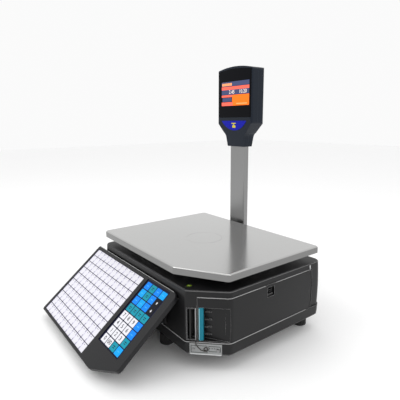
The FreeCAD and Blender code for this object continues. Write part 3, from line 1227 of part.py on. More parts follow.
# ---------------------------------------------------------------- keypad
def keypad_outline(offset):
    """Corners of the keypad's outline in its own plane, moved inwards by offset."""
    left = -KEYPAD_LEFT_MARGIN + offset
    right = KEYPAD_WIDTH - KEYPAD_LEFT_MARGIN - offset
    bottom = -SHEET_LENGTH - KEYPAD_BOTTOM_MARGIN + offset
    top = KEYPAD_TOP_MARGIN - offset
    turn = math.atan2(KEYPAD_CUT_Y, KEYPAD_CUT_X)
    bottom_shift = offset * math.tan(turn / 2)
    side_shift = offset * math.tan((math.pi / 2 - turn) / 2)
    return [(left, bottom), (right + offset - KEYPAD_CUT_X - bottom_shift, bottom),
            (right, bottom - offset + KEYPAD_CUT_Y + side_shift), (right, top), (left, top)]


def keypad_block(offset, low, high):
    """Flat block in the keypad's outline."""
    radii = [max(radius - offset, SHARPEST) for radius in KEYPAD_RADII]
    return prism(keypad_outline(offset), radii, low, high)


def trim_to_body(shape):
    """Cut a keypad piece off just in front of the body's front wall."""
    return shape.cut(box(-BODY_WIDTH, 2 * BODY_WIDTH, -CROWN - REST_GAP, BODY_DEPTH, -FAR, 2 * BODY_TOP))


def make_upper_case():
    """Keypad bezel: filleted rim, pockets for both sheets and the cavity over the board."""
    floor = -SHEET_THICKNESS
    block = keypad_block(0, -UPPER_CASE_HEIGHT, KEYPAD_RIM)
    rim_edges = [edge for edge in block.Edges if edge.BoundBox.ZMin > KEYPAD_RIM - EDGE_TOLERANCE]
    return block.makeFillet(RIM_FILLET, rim_edges).cut([
        box(-SHEET_ROOM, SHEET_WIDTH + SHEET_ROOM, -SHEET_LENGTH - SHEET_ROOM, SHEET_ROOM, floor, WALL_CUT),
        box(FUNCTION_X - SHEET_ROOM, FUNCTION_X + FUNCTION_WIDTH + SHEET_ROOM,
            FUNCTION_RISE - FUNCTION_LENGTH - SHEET_ROOM, FUNCTION_RISE + SHEET_ROOM, floor, WALL_CUT),
        keypad_block(KEYPAD_WALL, -UPPER_CASE_HEIGHT - PAST, floor - KEYPAD_WALL)])


def make_lower_case(board_low):
    """Keypad's tapered back with its standoffs under the board."""
    high = -UPPER_CASE_HEIGHT
    low = high - LOWER_CASE_HEIGHT
    radii = [LOWER_CASE_RADIUS] * 5
    shell = Part.makeLoft([rounded_wire(keypad_outline(LOWER_CASE_INSET), radii, low),
                           rounded_wire(keypad_outline(LOWER_CASE_STEP), radii, high)], True, True)
    hollow = keypad_block(LOWER_CASE_INSET + KEYPAD_WALL, low + KEYPAD_WALL, high + PAST)
    right = KEYPAD_WIDTH - KEYPAD_LEFT_MARGIN - KEYPAD_BOARD_RIGHT_INSET - STANDOFF_TOP
    left = KEYPAD_BOARD_LEFT + STANDOFF_INSET
    standoffs = []
    for x in (left, (left + right) / 2, right):
        for y in (-KEYPAD_BOARD_TOP - STANDOFF_TOP, KEYPAD_BOARD_BOTTOM + STANDOFF_BOTTOM - SHEET_LENGTH):
            standoffs.append(post(x, y, STANDOFF_RADIUS, low + PAST, board_low))
    return shell.cut(hollow).fuse(standoffs).removeSplitter()


def make_keypad():
    """Upper case, lower case, preset sheet, function sheet and board of the keypad."""
    floor = -SHEET_THICKNESS
    board_low = -UPPER_CASE_HEIGHT - KEYPAD_BOARD_DROP
    board = box(KEYPAD_BOARD_LEFT, KEYPAD_WIDTH - KEYPAD_LEFT_MARGIN - KEYPAD_BOARD_RIGHT_INSET,
                KEYPAD_BOARD_BOTTOM - SHEET_LENGTH, -KEYPAD_BOARD_TOP, board_low,
                board_low + BOARD_THICKNESS)
    sheet = box(0, SHEET_WIDTH, -SHEET_LENGTH, 0, floor, 0)
    functions = box(FUNCTION_X, FUNCTION_X + FUNCTION_WIDTH, FUNCTION_RISE - FUNCTION_LENGTH, FUNCTION_RISE,
                    floor, 0)
    return [trim_to_body(on_keypad(make_upper_case())), trim_to_body(on_keypad(make_lower_case(board_low))),
            on_keypad(sheet), on_keypad(functions), on_keypad(board)]


def make_keypad_brackets():
    """Two gussets that carry the keypad off the body's front wall."""
    depth = UPPER_CASE_HEIGHT + LOWER_CASE_HEIGHT + REST_GAP
    run = Vector(0, -math.cos(KEYPAD_TURN), -math.sin(KEYPAD_TURN))
    out = Vector(0, math.sin(KEYPAD_TURN), -math.cos(KEYPAD_TURN))
    wall_y = -CROWN - REST_GAP
    foot = BASE_SEAM + BRACKET_FOOT
    side = (BRACKET_FLANGE - BRACKET_SHEET) / 2
    brackets = []
    for x in BRACKET_PLACES:
        start = Vector(x, KEYPAD_Y, KEYPAD_Z) + run * BRACKET_REACH[0] + out * depth
        end = Vector(x, KEYPAD_Y, KEYPAD_Z) + run * BRACKET_REACH[1] + out * depth
        points = [(x, wall_y, start.z), tuple(start), tuple(end),
                  (x, end.y + BRACKET_TOE[0], end.z - BRACKET_TOE[1]), (x, wall_y, foot)]
        web = polygon_face(points).extrude(Vector(BRACKET_SHEET, 0, 0))
        flange = box(x - side, x + BRACKET_SHEET + side, wall_y - BRACKET_FLANGE_THICKNESS, wall_y, foot,
                     start.z)
        brackets.append(fuse_all([web, flange]))
    return Part.makeCompound(brackets)


# ---------------------------------------------------------------- electronics
def make_inlet():
    """Mains inlet with its three blades."""
    face = REAR_FACE + INLET_FLANGE
    flange = centred_box(INLET_X, (REAR_FACE + REST_GAP + face) / 2, INLET_FLANGE_WIDTH,
                         INLET_FLANGE - REST_GAP, INLET_Z - INLET_FLANGE_HEIGHT / 2,
                         INLET_Z + INLET_FLANGE_HEIGHT / 2)
    half_width = (INLET_WIDTH - INLET_ROOM) / 2
    half_height = (INLET_HEIGHT - INLET_ROOM) / 2
    shell = box(INLET_X - half_width, INLET_X + half_width, BODY_DEPTH - INLET_DEPTH, face - REST_GAP,
                INLET_Z - half_height, INLET_Z + half_height)
    socket = box(INLET_X - SOCKET_WIDTH / 2, INLET_X + SOCKET_WIDTH / 2, BODY_DEPTH - SOCKET_DEPTH,
                 face + PAST, INLET_Z - SOCKET_HEIGHT / 2, INLET_Z + SOCKET_HEIGHT / 2)
    blades = []
    for side, shift in ((-1, -BLADE_SHIFT), (0, BLADE_SHIFT), (1, -BLADE_SHIFT)):
        x = INLET_X + side * BLADE_PITCH
        z = INLET_Z + shift
        back = BODY_DEPTH - SOCKET_DEPTH - PAST
        blades.append(box(x - BLADE_WIDTH / 2, x + BLADE_WIDTH / 2, back, back + BLADE_LENGTH,
                          z - BLADE_HEIGHT / 2, z + BLADE_HEIGHT / 2))
    return fuse_all([flange, shell]).cut(socket).fuse(blades).removeSplitter()


def make_switch():
    """Rocker of the power switch with the round hub that it turns on."""
    left = SWITCH_X - SWITCH_WIDTH / 2 + SWITCH_ROOM
    outer = SWITCH_PIVOT_Y + SWITCH_FACE
    inner = SWITCH_PIVOT_Y - SWITCH_HUB_RADIUS + PAST
    half = SWITCH_HEIGHT / 2 - SWITCH_SWING_ROOM
    points = [(left, inner, INLET_Z - SWITCH_FOOT_HALF), (left, outer - 2.4, INLET_Z - half),
              (left, outer - 1.0, INLET_Z), (left, outer + 0.6, INLET_Z + half),
              (left, inner, INLET_Z + SWITCH_FOOT_HALF)]
    width = SWITCH_WIDTH - 2 * SWITCH_ROOM
    rocker = polygon_face(points).extrude(Vector(width, 0, 0))
    hub = Part.makeCylinder(SWITCH_HUB_RADIUS, width, Vector(left, SWITCH_PIVOT_Y, INLET_Z), Vector(1, 0, 0))
    return fuse_all([rocker, hub])


def make_port_panel():
    """Connector panel with network, serial and USB sockets."""
    half = PORT_WIDTH / 2
    panel = box(PORT_X - half - PORT_FLANGE, PORT_X + half + PORT_FLANGE, REAR_FACE + REST_GAP,
                REAR_FACE + PORT_FLANGE_THICKNESS, INLET_Z - PORT_HEIGHT / 2 - PORT_FLANGE,
                INLET_Z + PORT_HEIGHT / 2 + PORT_FLANGE)
    block = box(PORT_X - half + PAST, PORT_X + half - PAST, BODY_DEPTH - WALL_CUT, REAR_FACE + PAST,
                INLET_Z - PORT_HEIGHT / 2 + PAST, INLET_Z + PORT_HEIGHT / 2 - PAST)
    sockets = [box(PORT_X + start, PORT_X + start + width, BODY_DEPTH - PORT_SOCKET_DEPTH, REAR_FACE + FAR,
                   INLET_Z - height / 2, INLET_Z + height / 2) for start, width, height in PORT_SOCKETS]
    return fuse_all([panel, block]).cut(sockets)


def make_main_board():
    """Main board on its spacers, with a processor, a memory card slot and capacitors."""
    low = FLOOR_TOP + BOARD_LIFT
    right = BOARD_LEFT + BOARD_WIDTH
    rear = BOARD_FRONT + BOARD_DEPTH
    seat = low + PAST
    parts = [box(BOARD_LEFT, right, BOARD_FRONT, rear, low, low + BOARD_THICKNESS)]
    for x in (BOARD_LEFT + SPACER_INSET, right - SPACER_INSET):
        for y in (BOARD_FRONT + SPACER_INSET, rear - SPACER_INSET):
            parts.append(post(x, y, SPACER_RADIUS, FLOOR_TOP, seat))
    parts.append(box(BOARD_LEFT + 36, BOARD_LEFT + 60, BOARD_FRONT + 50, BOARD_FRONT + 74, seat, seat + 3))
    parts.append(box(right - 50, right - 20, rear - 52, rear - 32, seat, seat + 8))
    for index in range(CAPACITOR_COUNT):
        parts.append(post(BOARD_LEFT + 16 + CAPACITOR_PITCH * index, rear - 22, CAPACITOR_RADIUS, seat,
                          seat + CAPACITOR_HEIGHT))
    return fuse_all(parts)


def make_power_supply():
    """Boxed power supply behind the mains inlet."""
    front = BOARD_FRONT + BOARD_DEPTH + SUPPLY_FRONT_ROOM
    return box(SUPPLY_LEFT, SUPPLY_LEFT + SUPPLY_WIDTH, front, front + SUPPLY_DEPTH, FLOOR_TOP,
               FLOOR_TOP + SUPPLY_HEIGHT)


# ---------------------------------------------------------------- pole and display head
def rearward_pin(radius, length, start_y, z):
    """Round bar along +Y in the pole's middle plane."""
    return Part.makeCylinder(radius, length, Vector(POLE_X, start_y, z), Vector(0, 1, 0))


def make_pole():
    """Flat-sided tube that carries the display."""
    top = HEAD_SIDE_BOTTOM + POLE_REACH
    outer = rounded_box(POLE_X, POLE_Y, POLE_WIDTH, POLE_DEPTH, POLE_RADIUS, POLE_BOTTOM, top)
    inner = rounded_box(POLE_X, POLE_Y, POLE_WIDTH - 2 * POLE_WALL, POLE_DEPTH - 2 * POLE_WALL,
                        POLE_RADIUS - POLE_WALL, POLE_BOTTOM - PAST, top + PAST)
    holes = [rearward_pin(POLE_SCREW_RADIUS, FAR, POLE_Y - FAR / 2, z) for z in POLE_SCREW_HEIGHTS]
    return outer.cut([inner] + holes)


def make_pole_bracket():
    """Socket on the rear wall that grips the pole's foot."""
    half = POLE_WIDTH / 2 + BRACKET_SIDE
    block = box(POLE_X - half, POLE_X + half, REAR_FACE + REST_GAP, POLE_Y + POLE_DEPTH / 2 + BRACKET_BACK,
                BASE_SEAM + REST_GAP, BRACKET_TOP)
    back_edges = [edge for edge in block.Edges
                  if edge.BoundBox.YMin > POLE_Y and edge.BoundBox.ZLength > BRACKET_SIDE]
    socket = rounded_box(POLE_X, POLE_Y, POLE_WIDTH + SEAT_GAP, POLE_DEPTH + SEAT_GAP, POLE_RADIUS,
                         POLE_BOTTOM, BRACKET_TOP + PAST)
    holes = [rearward_pin(POLE_SCREW_RADIUS, FAR, POLE_Y, z) for z in POLE_SCREW_HEIGHTS]
    return block.makeFillet(BRACKET_SIDE, back_edges).cut([socket] + holes)


def make_pole_screws():
    """Screws that clamp the pole in its bracket."""
    back = POLE_Y + POLE_DEPTH / 2 + BRACKET_BACK
    screws = []
    for z in POLE_SCREW_HEIGHTS:
        shank = rearward_pin(POLE_SCREW_RADIUS - RUNNING_FIT, POLE_SCREW_LENGTH + PAST,
                             back - POLE_SCREW_LENGTH, z)
        head = rearward_pin(POLE_SCREW_HEAD_RADIUS, POLE_SCREW_HEAD_HEIGHT, back, z)
        screws.append(fuse_all([shank, head]))
    return Part.makeCompound(screws)


def head_right_side(offset):
    """Right half of the display head's front outline as edges, from the neck's foot to the top's middle."""
    half = HEAD_WIDTH / 2 - offset
    neck = NECK_WIDTH / 2 - offset
    top = HEAD_TOP - offset
    side = HEAD_SIDE_BOTTOM

    def at(x, z):
        return Vector(POLE_X + x, 0, z)

    return [Part.LineSegment(at(neck, NECK_BOTTOM + offset), at(neck + 3, NECK_TOP - 6)).toShape(),
            Part.Arc(at(neck + 3, NECK_TOP - 6), at(neck + 5.2, NECK_TOP - 0.5),
                     at(neck + 10, NECK_TOP + 4)).toShape(),
            Part.LineSegment(at(neck + 10, NECK_TOP + 4), at(half - 3, side - 2.2)).toShape(),
            Part.Arc(at(half - 3, side - 2.2), at(half - 0.8, side + 0.4), at(half, side + 4)).toShape(),
            Part.LineSegment(at(half, side + 4), at(half, top - HEAD_CORNER)).toShape(),
            Part.Arc(at(half, top - HEAD_CORNER), at(half - HEAD_CORNER * 0.3, top - HEAD_CORNER * 0.25),
                     at(half - HEAD_CORNER, top + HEAD_SHOULDER)).toShape()]


def head_front_view(offset):
    """Front outline of the display head, moved inwards by offset, as a face in the XZ plane."""
    half = HEAD_WIDTH / 2 - offset - HEAD_CORNER
    neck = NECK_WIDTH / 2 - offset
    top = HEAD_TOP - offset
    bottom = NECK_BOTTOM + offset
    right = head_right_side(offset)
    left = [edge.mirror(Vector(POLE_X, 0, 0), Vector(1, 0, 0)) for edge in right]
    foot = Part.LineSegment(Vector(POLE_X - neck, 0, bottom), Vector(POLE_X + neck, 0, bottom)).toShape()
    arch = Part.Arc(Vector(POLE_X + half, 0, top + HEAD_SHOULDER), Vector(POLE_X, 0, top + HEAD_ARCH),
                    Vector(POLE_X - half, 0, top + HEAD_SHOULDER)).toShape()
    return Part.Face(Part.Wire(Part.__sortEdges__([foot] + right + [arch] + left)))


def head_block(offset):
    """Outer form of the display head, moved inwards by offset."""
    face = head_front_view(offset)
    face.translate(Vector(0, HEAD_FRONT - PAST, 0))
    front_view = face.extrude(Vector(0, HEAD_DEPTH + 2 * PAST, 0))
    half = HEAD_DEPTH / 2 - offset
    neck = NECK_DEPTH / 2 - offset
    chin = WINDOW_BOTTOM - CHIN_DROP + offset
    side_points = [(0, POLE_Y - neck, NECK_BOTTOM - PAST), (0, POLE_Y + neck, NECK_BOTTOM - PAST),
                   (0, POLE_Y + half, chin), (0, POLE_Y + half, HEAD_TOP + FAR),
                   (0, POLE_Y - half, HEAD_TOP + FAR), (0, POLE_Y - half, chin)]
    side = polygon_face(side_points)
    side.translate(Vector(POLE_X - HEAD_WIDTH, 0, 0))
    side_view = side.extrude(Vector(2 * HEAD_WIDTH, 0, 0))
    plan = rounded_box(POLE_X, POLE_Y, HEAD_WIDTH - 2 * offset, HEAD_DEPTH - 2 * offset,
                       HEAD_PLAN_RADIUS - offset, NECK_BOTTOM - FAR, HEAD_TOP + FAR)
    return front_view.common(side_view).common(plan)


def window_block(gap, front, back):
    """Arched block of the display window, grown by gap."""
    half = WINDOW_WIDTH / 2 + gap
    low = WINDOW_BOTTOM - gap
    high = WINDOW_TOP + gap

    def at(x, z):
        return Vector(POLE_X + x, front, z)

    edges = [Part.LineSegment(at(-half, low), at(half, low)).toShape(),
             Part.LineSegment(at(half, low), at(half, high)).toShape(),
             Part.Arc(at(half, high), at(0, high + HEAD_ARCH - PAST), at(-half, high)).toShape(),
             Part.LineSegment(at(-half, high), at(-half, low)).toShape()]
    return Part.Face(Part.Wire(edges)).extrude(Vector(0, back - front, 0))


def mirrored(shape):
    """Copy of a shape on the other face of the display head."""
    return shape.mirror(Vector(0, POLE_Y, 0), Vector(0, 1, 0))


def screen_box(gap, front, back):
    """Block behind the lit screen's area, grown by gap."""
    return box(SCREEN_X - SCREEN_WIDTH / 2 - gap, SCREEN_X + SCREEN_WIDTH / 2 + gap, front, back,
               SCREEN_Z - SCREEN_HEIGHT / 2 - gap, SCREEN_Z + SCREEN_HEIGHT / 2 + gap)


def make_display():
    """Both shells of the display head with their windows, LCD modules and the badge."""
    outer = head_block(0)
    glass_back = HEAD_FRONT + WINDOW_THICKNESS
    wall_back = glass_back + HEAD_WALL
    hollow = head_block(HEAD_WALL + WINDOW_THICKNESS)
    collar = rounded_box(POLE_X, POLE_Y, POLE_WIDTH + 2 * SEAT_GAP, POLE_DEPTH + 2 * SEAT_GAP, POLE_RADIUS,
                         NECK_BOTTOM - FAR, HEAD_SIDE_BOTTOM + POLE_REACH + PAST)
    pocket = window_block(WINDOW_ROOM, HEAD_FRONT - PAST, glass_back)
    opening = screen_box(SCREEN_ROOM, HEAD_FRONT, wall_back + PAST)
    shell = outer.cut([hollow, collar]).cut([pocket, mirrored(pocket), opening, mirrored(opening)])
    left, right = POLE_X - HEAD_WIDTH, POLE_X + HEAD_WIDTH
    front = shell.common(box(left, right, HEAD_FRONT - FAR, POLE_Y, NECK_BOTTOM - FAR, HEAD_TOP + FAR))
    rear = shell.common(box(left, right, POLE_Y, HEAD_BACK + FAR, NECK_BOTTOM - FAR, HEAD_TOP + FAR))
    glass = window_block(0, HEAD_FRONT, glass_back).common(outer)
    module = fuse_all([screen_box(0.0, glass_back, wall_back + 2 * PAST),
                       screen_box(MODULE_MARGIN, wall_back + REST_GAP, wall_back + MODULE_DEPTH)])
    badge = head_block(-BADGE_THICKNESS).cut(outer).common(badge_block())
    return (front, rear, Part.makeCompound([glass, mirrored(glass)]),
            Part.makeCompound([module, mirrored(module)]), badge)


def badge_block():
    """Half-disc prism that cuts the badge out of the chin's surface."""
    half = BADGE_WIDTH / 2

    def at(x, z):
        return Vector(POLE_X + x, HEAD_FRONT - FAR, z)

    edges = [Part.LineSegment(at(-half, BADGE_TOP), at(half, BADGE_TOP)).toShape(),
             Part.Arc(at(half, BADGE_TOP), at(0, BADGE_TOP - BADGE_HEIGHT), at(-half, BADGE_TOP)).toShape()]
    return Part.Face(Part.Wire(edges)).extrude(Vector(0, FAR + HEAD_DEPTH / 3, 0))


# ---------------------------------------------------------------- export
ORIGIN = Vector((LEFT_END + RIGHT_END) / 2, (FRONT_END + HEAD_BACK) / 2, 0)


def build():
    """Every node's shape by name."""
    nodes = {}
    nodes["base_tray"], nodes["upper_housing"] = make_body()
    nodes["housing_screws"] = make_housing_screws()
    for name, (x, y) in foot_places().items():
        nodes["levelling_foot_" + name] = make_foot(x, y)
    nodes["printer_door"] = make_door()
    nodes["door_hinge_pins"] = make_hinge_pins()
    nodes["release_lever"] = make_lever()
    nodes["lever_pin"] = make_lever_pin()
    nodes["lock_tab"] = make_lock_tab()
    nodes["lock_spring"] = make_lock_spring()
    nodes["slot_frame"] = make_slot_frame()
    nodes["peel_bar"] = make_peel_bar()
    nodes["seal_plate"] = make_seal_plate()
    nodes["seal_screws"] = make_seal_screws()
    nodes["seal_wire"] = make_seal_wire()
    nodes["level_bezel"], nodes["level_vial"] = make_level()
    nodes["printer_chassis"] = make_chassis()
    nodes["platen_roller"], nodes["platen_shaft"], nodes["platen_gear"] = make_platen()
    nodes["idler_gear"], nodes["motor_pinion"], nodes["takeup_spool"] = make_gear_train()
    nodes["stepper_motor"] = make_motor()
    nodes["print_head"], nodes["head_carrier"], nodes["head_pin"] = make_print_head()
    nodes["label_roll"], nodes["roll_core"], nodes["roll_spindle"] = make_label_roll()
    nodes["load_cell"] = make_load_cell()
    nodes["cell_base_bolts"], nodes["cell_top_bolts"] = make_cell_bolts()
    nodes["platform_carrier"] = make_carrier()
    nodes["pan_pads"] = make_pads()
    nodes["weighing_pan"] = make_pan()
    keypad = make_keypad()
    names = ("keypad_upper_case", "keypad_lower_case", "preset_sheet", "function_sheet", "keypad_board")
    nodes.update(zip(names, keypad))
    nodes["keypad_brackets"] = make_keypad_brackets()
    nodes["mains_inlet"] = make_inlet()
    nodes["power_switch"] = make_switch()
    nodes["port_panel"] = make_port_panel()
    nodes["main_board"] = make_main_board()
    nodes["power_supply"] = make_power_supply()
    nodes["display_pole"] = make_pole()
    nodes["pole_bracket"] = make_pole_bracket()
    nodes["pole_screws"] = make_pole_screws()
    names = ("display_front_shell", "display_rear_shell", "display_windows", "lcd_modules", "display_badge")
    nodes.update(zip(names, make_display()))
    return nodes


def main():
    """Build, move to the origin and write every node."""
    os.makedirs("parts", exist_ok=True)
    nodes = build()
    whole = Part.makeCompound(list(nodes.values())).BoundBox
    print("size %.2f x %.2f x %.2f" % (whole.XLength, whole.YLength, whole.ZLength))
    for name, shape in nodes.items():
        moved = shape.copy()
        moved.translate(-ORIGIN)
        moved.exportStep("parts/" + name + ".step")
        print("%-28s solids %d valid %s volume %.0f"
              % (name, len(shape.Solids), shape.isValid(), shape.Volume))


main()
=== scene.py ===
"""Looks of a label-printing counter scale: its finishes, printed foils, lit display and studio.

Everything is in metres, in the model's own frame: Z up, X to the operator's right, Y to the rear.
Every place is worked out from the boxes of the model's nodes.
"""

import logging
import math
from dataclasses import dataclass
from enum import Enum
from typing import Any, Iterable, Sequence

import bmesh
import bpy
from mathutils import Matrix, Vector


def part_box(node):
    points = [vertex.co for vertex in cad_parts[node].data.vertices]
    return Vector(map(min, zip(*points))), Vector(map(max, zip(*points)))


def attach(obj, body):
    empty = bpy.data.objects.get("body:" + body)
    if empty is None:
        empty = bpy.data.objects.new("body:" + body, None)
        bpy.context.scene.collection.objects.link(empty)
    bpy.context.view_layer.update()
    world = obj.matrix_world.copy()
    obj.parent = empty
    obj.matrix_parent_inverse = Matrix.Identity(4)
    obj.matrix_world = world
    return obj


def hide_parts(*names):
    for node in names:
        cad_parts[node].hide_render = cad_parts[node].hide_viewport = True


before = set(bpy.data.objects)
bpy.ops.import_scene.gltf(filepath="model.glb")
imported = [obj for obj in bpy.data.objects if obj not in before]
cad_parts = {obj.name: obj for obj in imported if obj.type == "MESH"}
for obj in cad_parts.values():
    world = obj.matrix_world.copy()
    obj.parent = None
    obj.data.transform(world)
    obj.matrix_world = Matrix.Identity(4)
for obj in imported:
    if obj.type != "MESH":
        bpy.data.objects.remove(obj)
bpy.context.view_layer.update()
MM = 0.001
BEVEL_SAMPLES = 4
SUNK = 0.3 * MM  # how far a printed patch or bar reaches below the face that it lies on
TIGHT = 0.3 * MM  # radius of the corners of small printed bars
Tree = bpy.types.NodeTree
Socket = bpy.types.NodeSocket
LOG = logging.getLogger("counter_scale")


# ---------------------------------------------------------------- shader helpers
def linear(hex_code: str) -> tuple[float, float, float, float]:
    """Turn an sRGB hex colour into linear light.

    Args:
        hex_code: Six hex digits after a hash sign.

    Returns:
        Red, green, blue and an alpha of one.
    """
    channels = [int(hex_code[start:start + 2], 16) / 255 for start in (1, 3, 5)]
    values = [c / 12.92 if c <= 0.04045 else ((c + 0.055) / 1.055) ** 2.4 for c in channels]
    return values[0], values[1], values[2], 1.0


def dimmed(hex_code: str, share: float) -> tuple[float, float, float, float]:
    """Linear light of an sRGB hex colour, made darker or lighter by a share."""
    red, green, blue, alpha = linear(hex_code)
    return red * share, green * share, blue * share, alpha


def fill(tree: Tree, node: bpy.types.Node, inputs: dict[Any, Any]) -> None:
    """Fill or link a shader node's inputs.

    Args:
        tree: The material's node tree.
        node: The node.
        inputs: Input names or numbers, each with a value or a socket to link.
    """
    for key, value in inputs.items():
        if isinstance(value, Socket):
            tree.links.new(value, node.inputs[key])
        else:
            node.inputs[key].default_value = value


def add_node(tree: Tree, kind: str, inputs: dict[Any, Any] | None = None,
             **settings: Any) -> bpy.types.Node:
    """Add one shader node, set it and fill or link its inputs.

    Args:
        tree: The material's node tree.
        kind: The node's type name.
        inputs: Input names or numbers, each with a value or a socket to link.
        **settings: Properties of the node.

    Returns:
        The new node.
    """
    node = tree.nodes.new(kind)
    for name, value in settings.items():
        setattr(node, name, value)
    fill(tree, node, inputs or {})
    return node


class Axis(Enum):
    """Direction in which a metal's grain runs."""

    X = 0
    Y = 1
    Z = 2


# ---------------------------------------------------------------- finishes
@dataclass(frozen=True)
class Finish:
    """What every finish has: the material's name, its colour and how it reflects."""

    name: str
    colour: str
    roughness: float
    ior: float = 1.5
    bump: float = 0.35

    def material(self) -> bpy.types.Material:
        """Make the material, or return it when it has been made before.

        Returns:
            The Blender material.
        """
        found = bpy.data.materials.get(self.name)
        if found:
            return found
        made = bpy.data.materials.new(self.name)
        made.use_nodes = True
        made.diffuse_color = linear(self.colour)
        tree = made.node_tree
        shader = tree.nodes["Principled BSDF"]
        fill(tree, shader, {"Base Color": linear(self.colour), "Roughness": self.roughness, "IOR": self.ior})
        self.dress(tree, shader, add_node(tree, "ShaderNodeTexCoord").outputs["Object"])
        return made

    def dress(self, tree: Tree, shader: bpy.types.Node, place: Socket) -> None:
        """Add the finish's own pattern to the shader.

        Args:
            tree: The material's node tree.
            shader: Its principled shader.
            place: Coordinates in metres.
        """
        raise NotImplementedError

    def cloudy(self, tree: Tree, place: Socket, size_mm: float,
               spread: float) -> Socket:
        """Vary the finish's colour slowly over the surface.

        Args:
            tree: The material's node tree.
            place: Coordinates in metres.
            size_mm: Size of a patch.
            spread: How far the lightness goes either way, as a share.

        Returns:
            The socket of the varied colour.
        """
        patches = add_node(tree, "ShaderNodeTexNoise",
                           {"Vector": place, "Scale": 1 / (size_mm * MM), "Detail": 3.0})
        mixed = add_node(tree, "ShaderNodeMixRGB",
                         {"Fac": patches.outputs["Fac"], "Color1": dimmed(self.colour, 1 - spread),
                          "Color2": dimmed(self.colour, 1 + spread)})
        return mixed.outputs["Color"]


    def relief(self, tree: Tree, shader: bpy.types.Node, colour: Socket, pattern: Socket, depth_mm: float,
               gloss: tuple[float, float] | None = None, normal: Socket | None = None) -> None:
        """Give the shader its colour, and a bump and a change of gloss that follow one pattern.

        Args:
            tree: The material's node tree.
            shader: Its principled shader.
            colour: The colour.
            pattern: The pattern, from 0 to 1.
            depth_mm: Depth of the bump.
            gloss: Roughness where the pattern is 0 and where it is 1.
            normal: Normal that the bump starts from, in place of the face's own.
        """
        height = {"Strength": self.bump, "Distance": depth_mm * MM, "Height": pattern}
        bump = add_node(tree, "ShaderNodeBump", height | ({"Normal": normal} if normal else {}))
        fill(tree, shader, {"Base Color": colour, "Normal": bump.outputs["Normal"]})
        if gloss:
            spread = add_node(tree, "ShaderNodeMapRange",
                              {"Value": pattern, "To Min": gloss[0], "To Max": gloss[1]})
            fill(tree, shader, {"Roughness": spread.outputs["Result"]})


@dataclass(frozen=True)
class MouldedPlastic(Finish):
    """Injection-moulded plastic: a spark-eroded grain, soft edges, and pale corners of painted highlight with
    slight rubbing.
    """

    ior: float = 1.53
    grain_mm: float = 0.9
    grain_depth_mm: float = 0.05
    edge_mm: float = 0.8
    rub_and_highlight: float = 0.35
    rub_and_highlight_colour: str = "#8A8A8A"
    patch_mm: float = 70.0
    spread: float = 0.07
    specular: float = 0.24
    gloss_spread: float = 0.08
    flat_from: float = 0.99
    edge_from: float = 0.80

    def dress(self, tree: Tree, shader: bpy.types.Node, place: Socket) -> None:
        """Add grain, patches, and pale edges of painted highlight with slight rubbing."""
        body = self.cloudy(tree, place, self.patch_mm, self.spread)
        soft = add_node(tree, "ShaderNodeBevel", {"Radius": self.edge_mm * MM}, samples=BEVEL_SAMPLES)
        flat = add_node(tree, "ShaderNodeNewGeometry")
        turned = add_node(tree, "ShaderNodeVectorMath",
                          {0: soft.outputs["Normal"], 1: flat.outputs["Normal"]}, operation="DOT_PRODUCT")
        # Painted highlight with slight rubbing: the edge colour is mixed in where the rounded normal turns
        # away from the face's own.
        edge = add_node(tree, "ShaderNodeMapRange",
                        {"Value": turned.outputs["Value"], "From Min": self.flat_from,
                         "From Max": self.edge_from, "To Min": 0.0, "To Max": self.rub_and_highlight})
        colour = add_node(tree, "ShaderNodeMixRGB",
                          {"Fac": edge.outputs["Result"], "Color1": body, "Color2": linear(self.rub_and_highlight_colour)})
        grain = add_node(tree, "ShaderNodeTexNoise",
                         {"Vector": place, "Scale": 1 / (self.grain_mm * MM), "Detail": 4.0,
                          "Roughness": 0.6})
        self.relief(tree, shader, colour.outputs["Color"], grain.outputs["Fac"], self.grain_depth_mm,
                    (self.roughness - self.gloss_spread, self.roughness + self.gloss_spread),
                    soft.outputs["Normal"])
        fill(tree, shader, {"Specular IOR Level": self.specular})


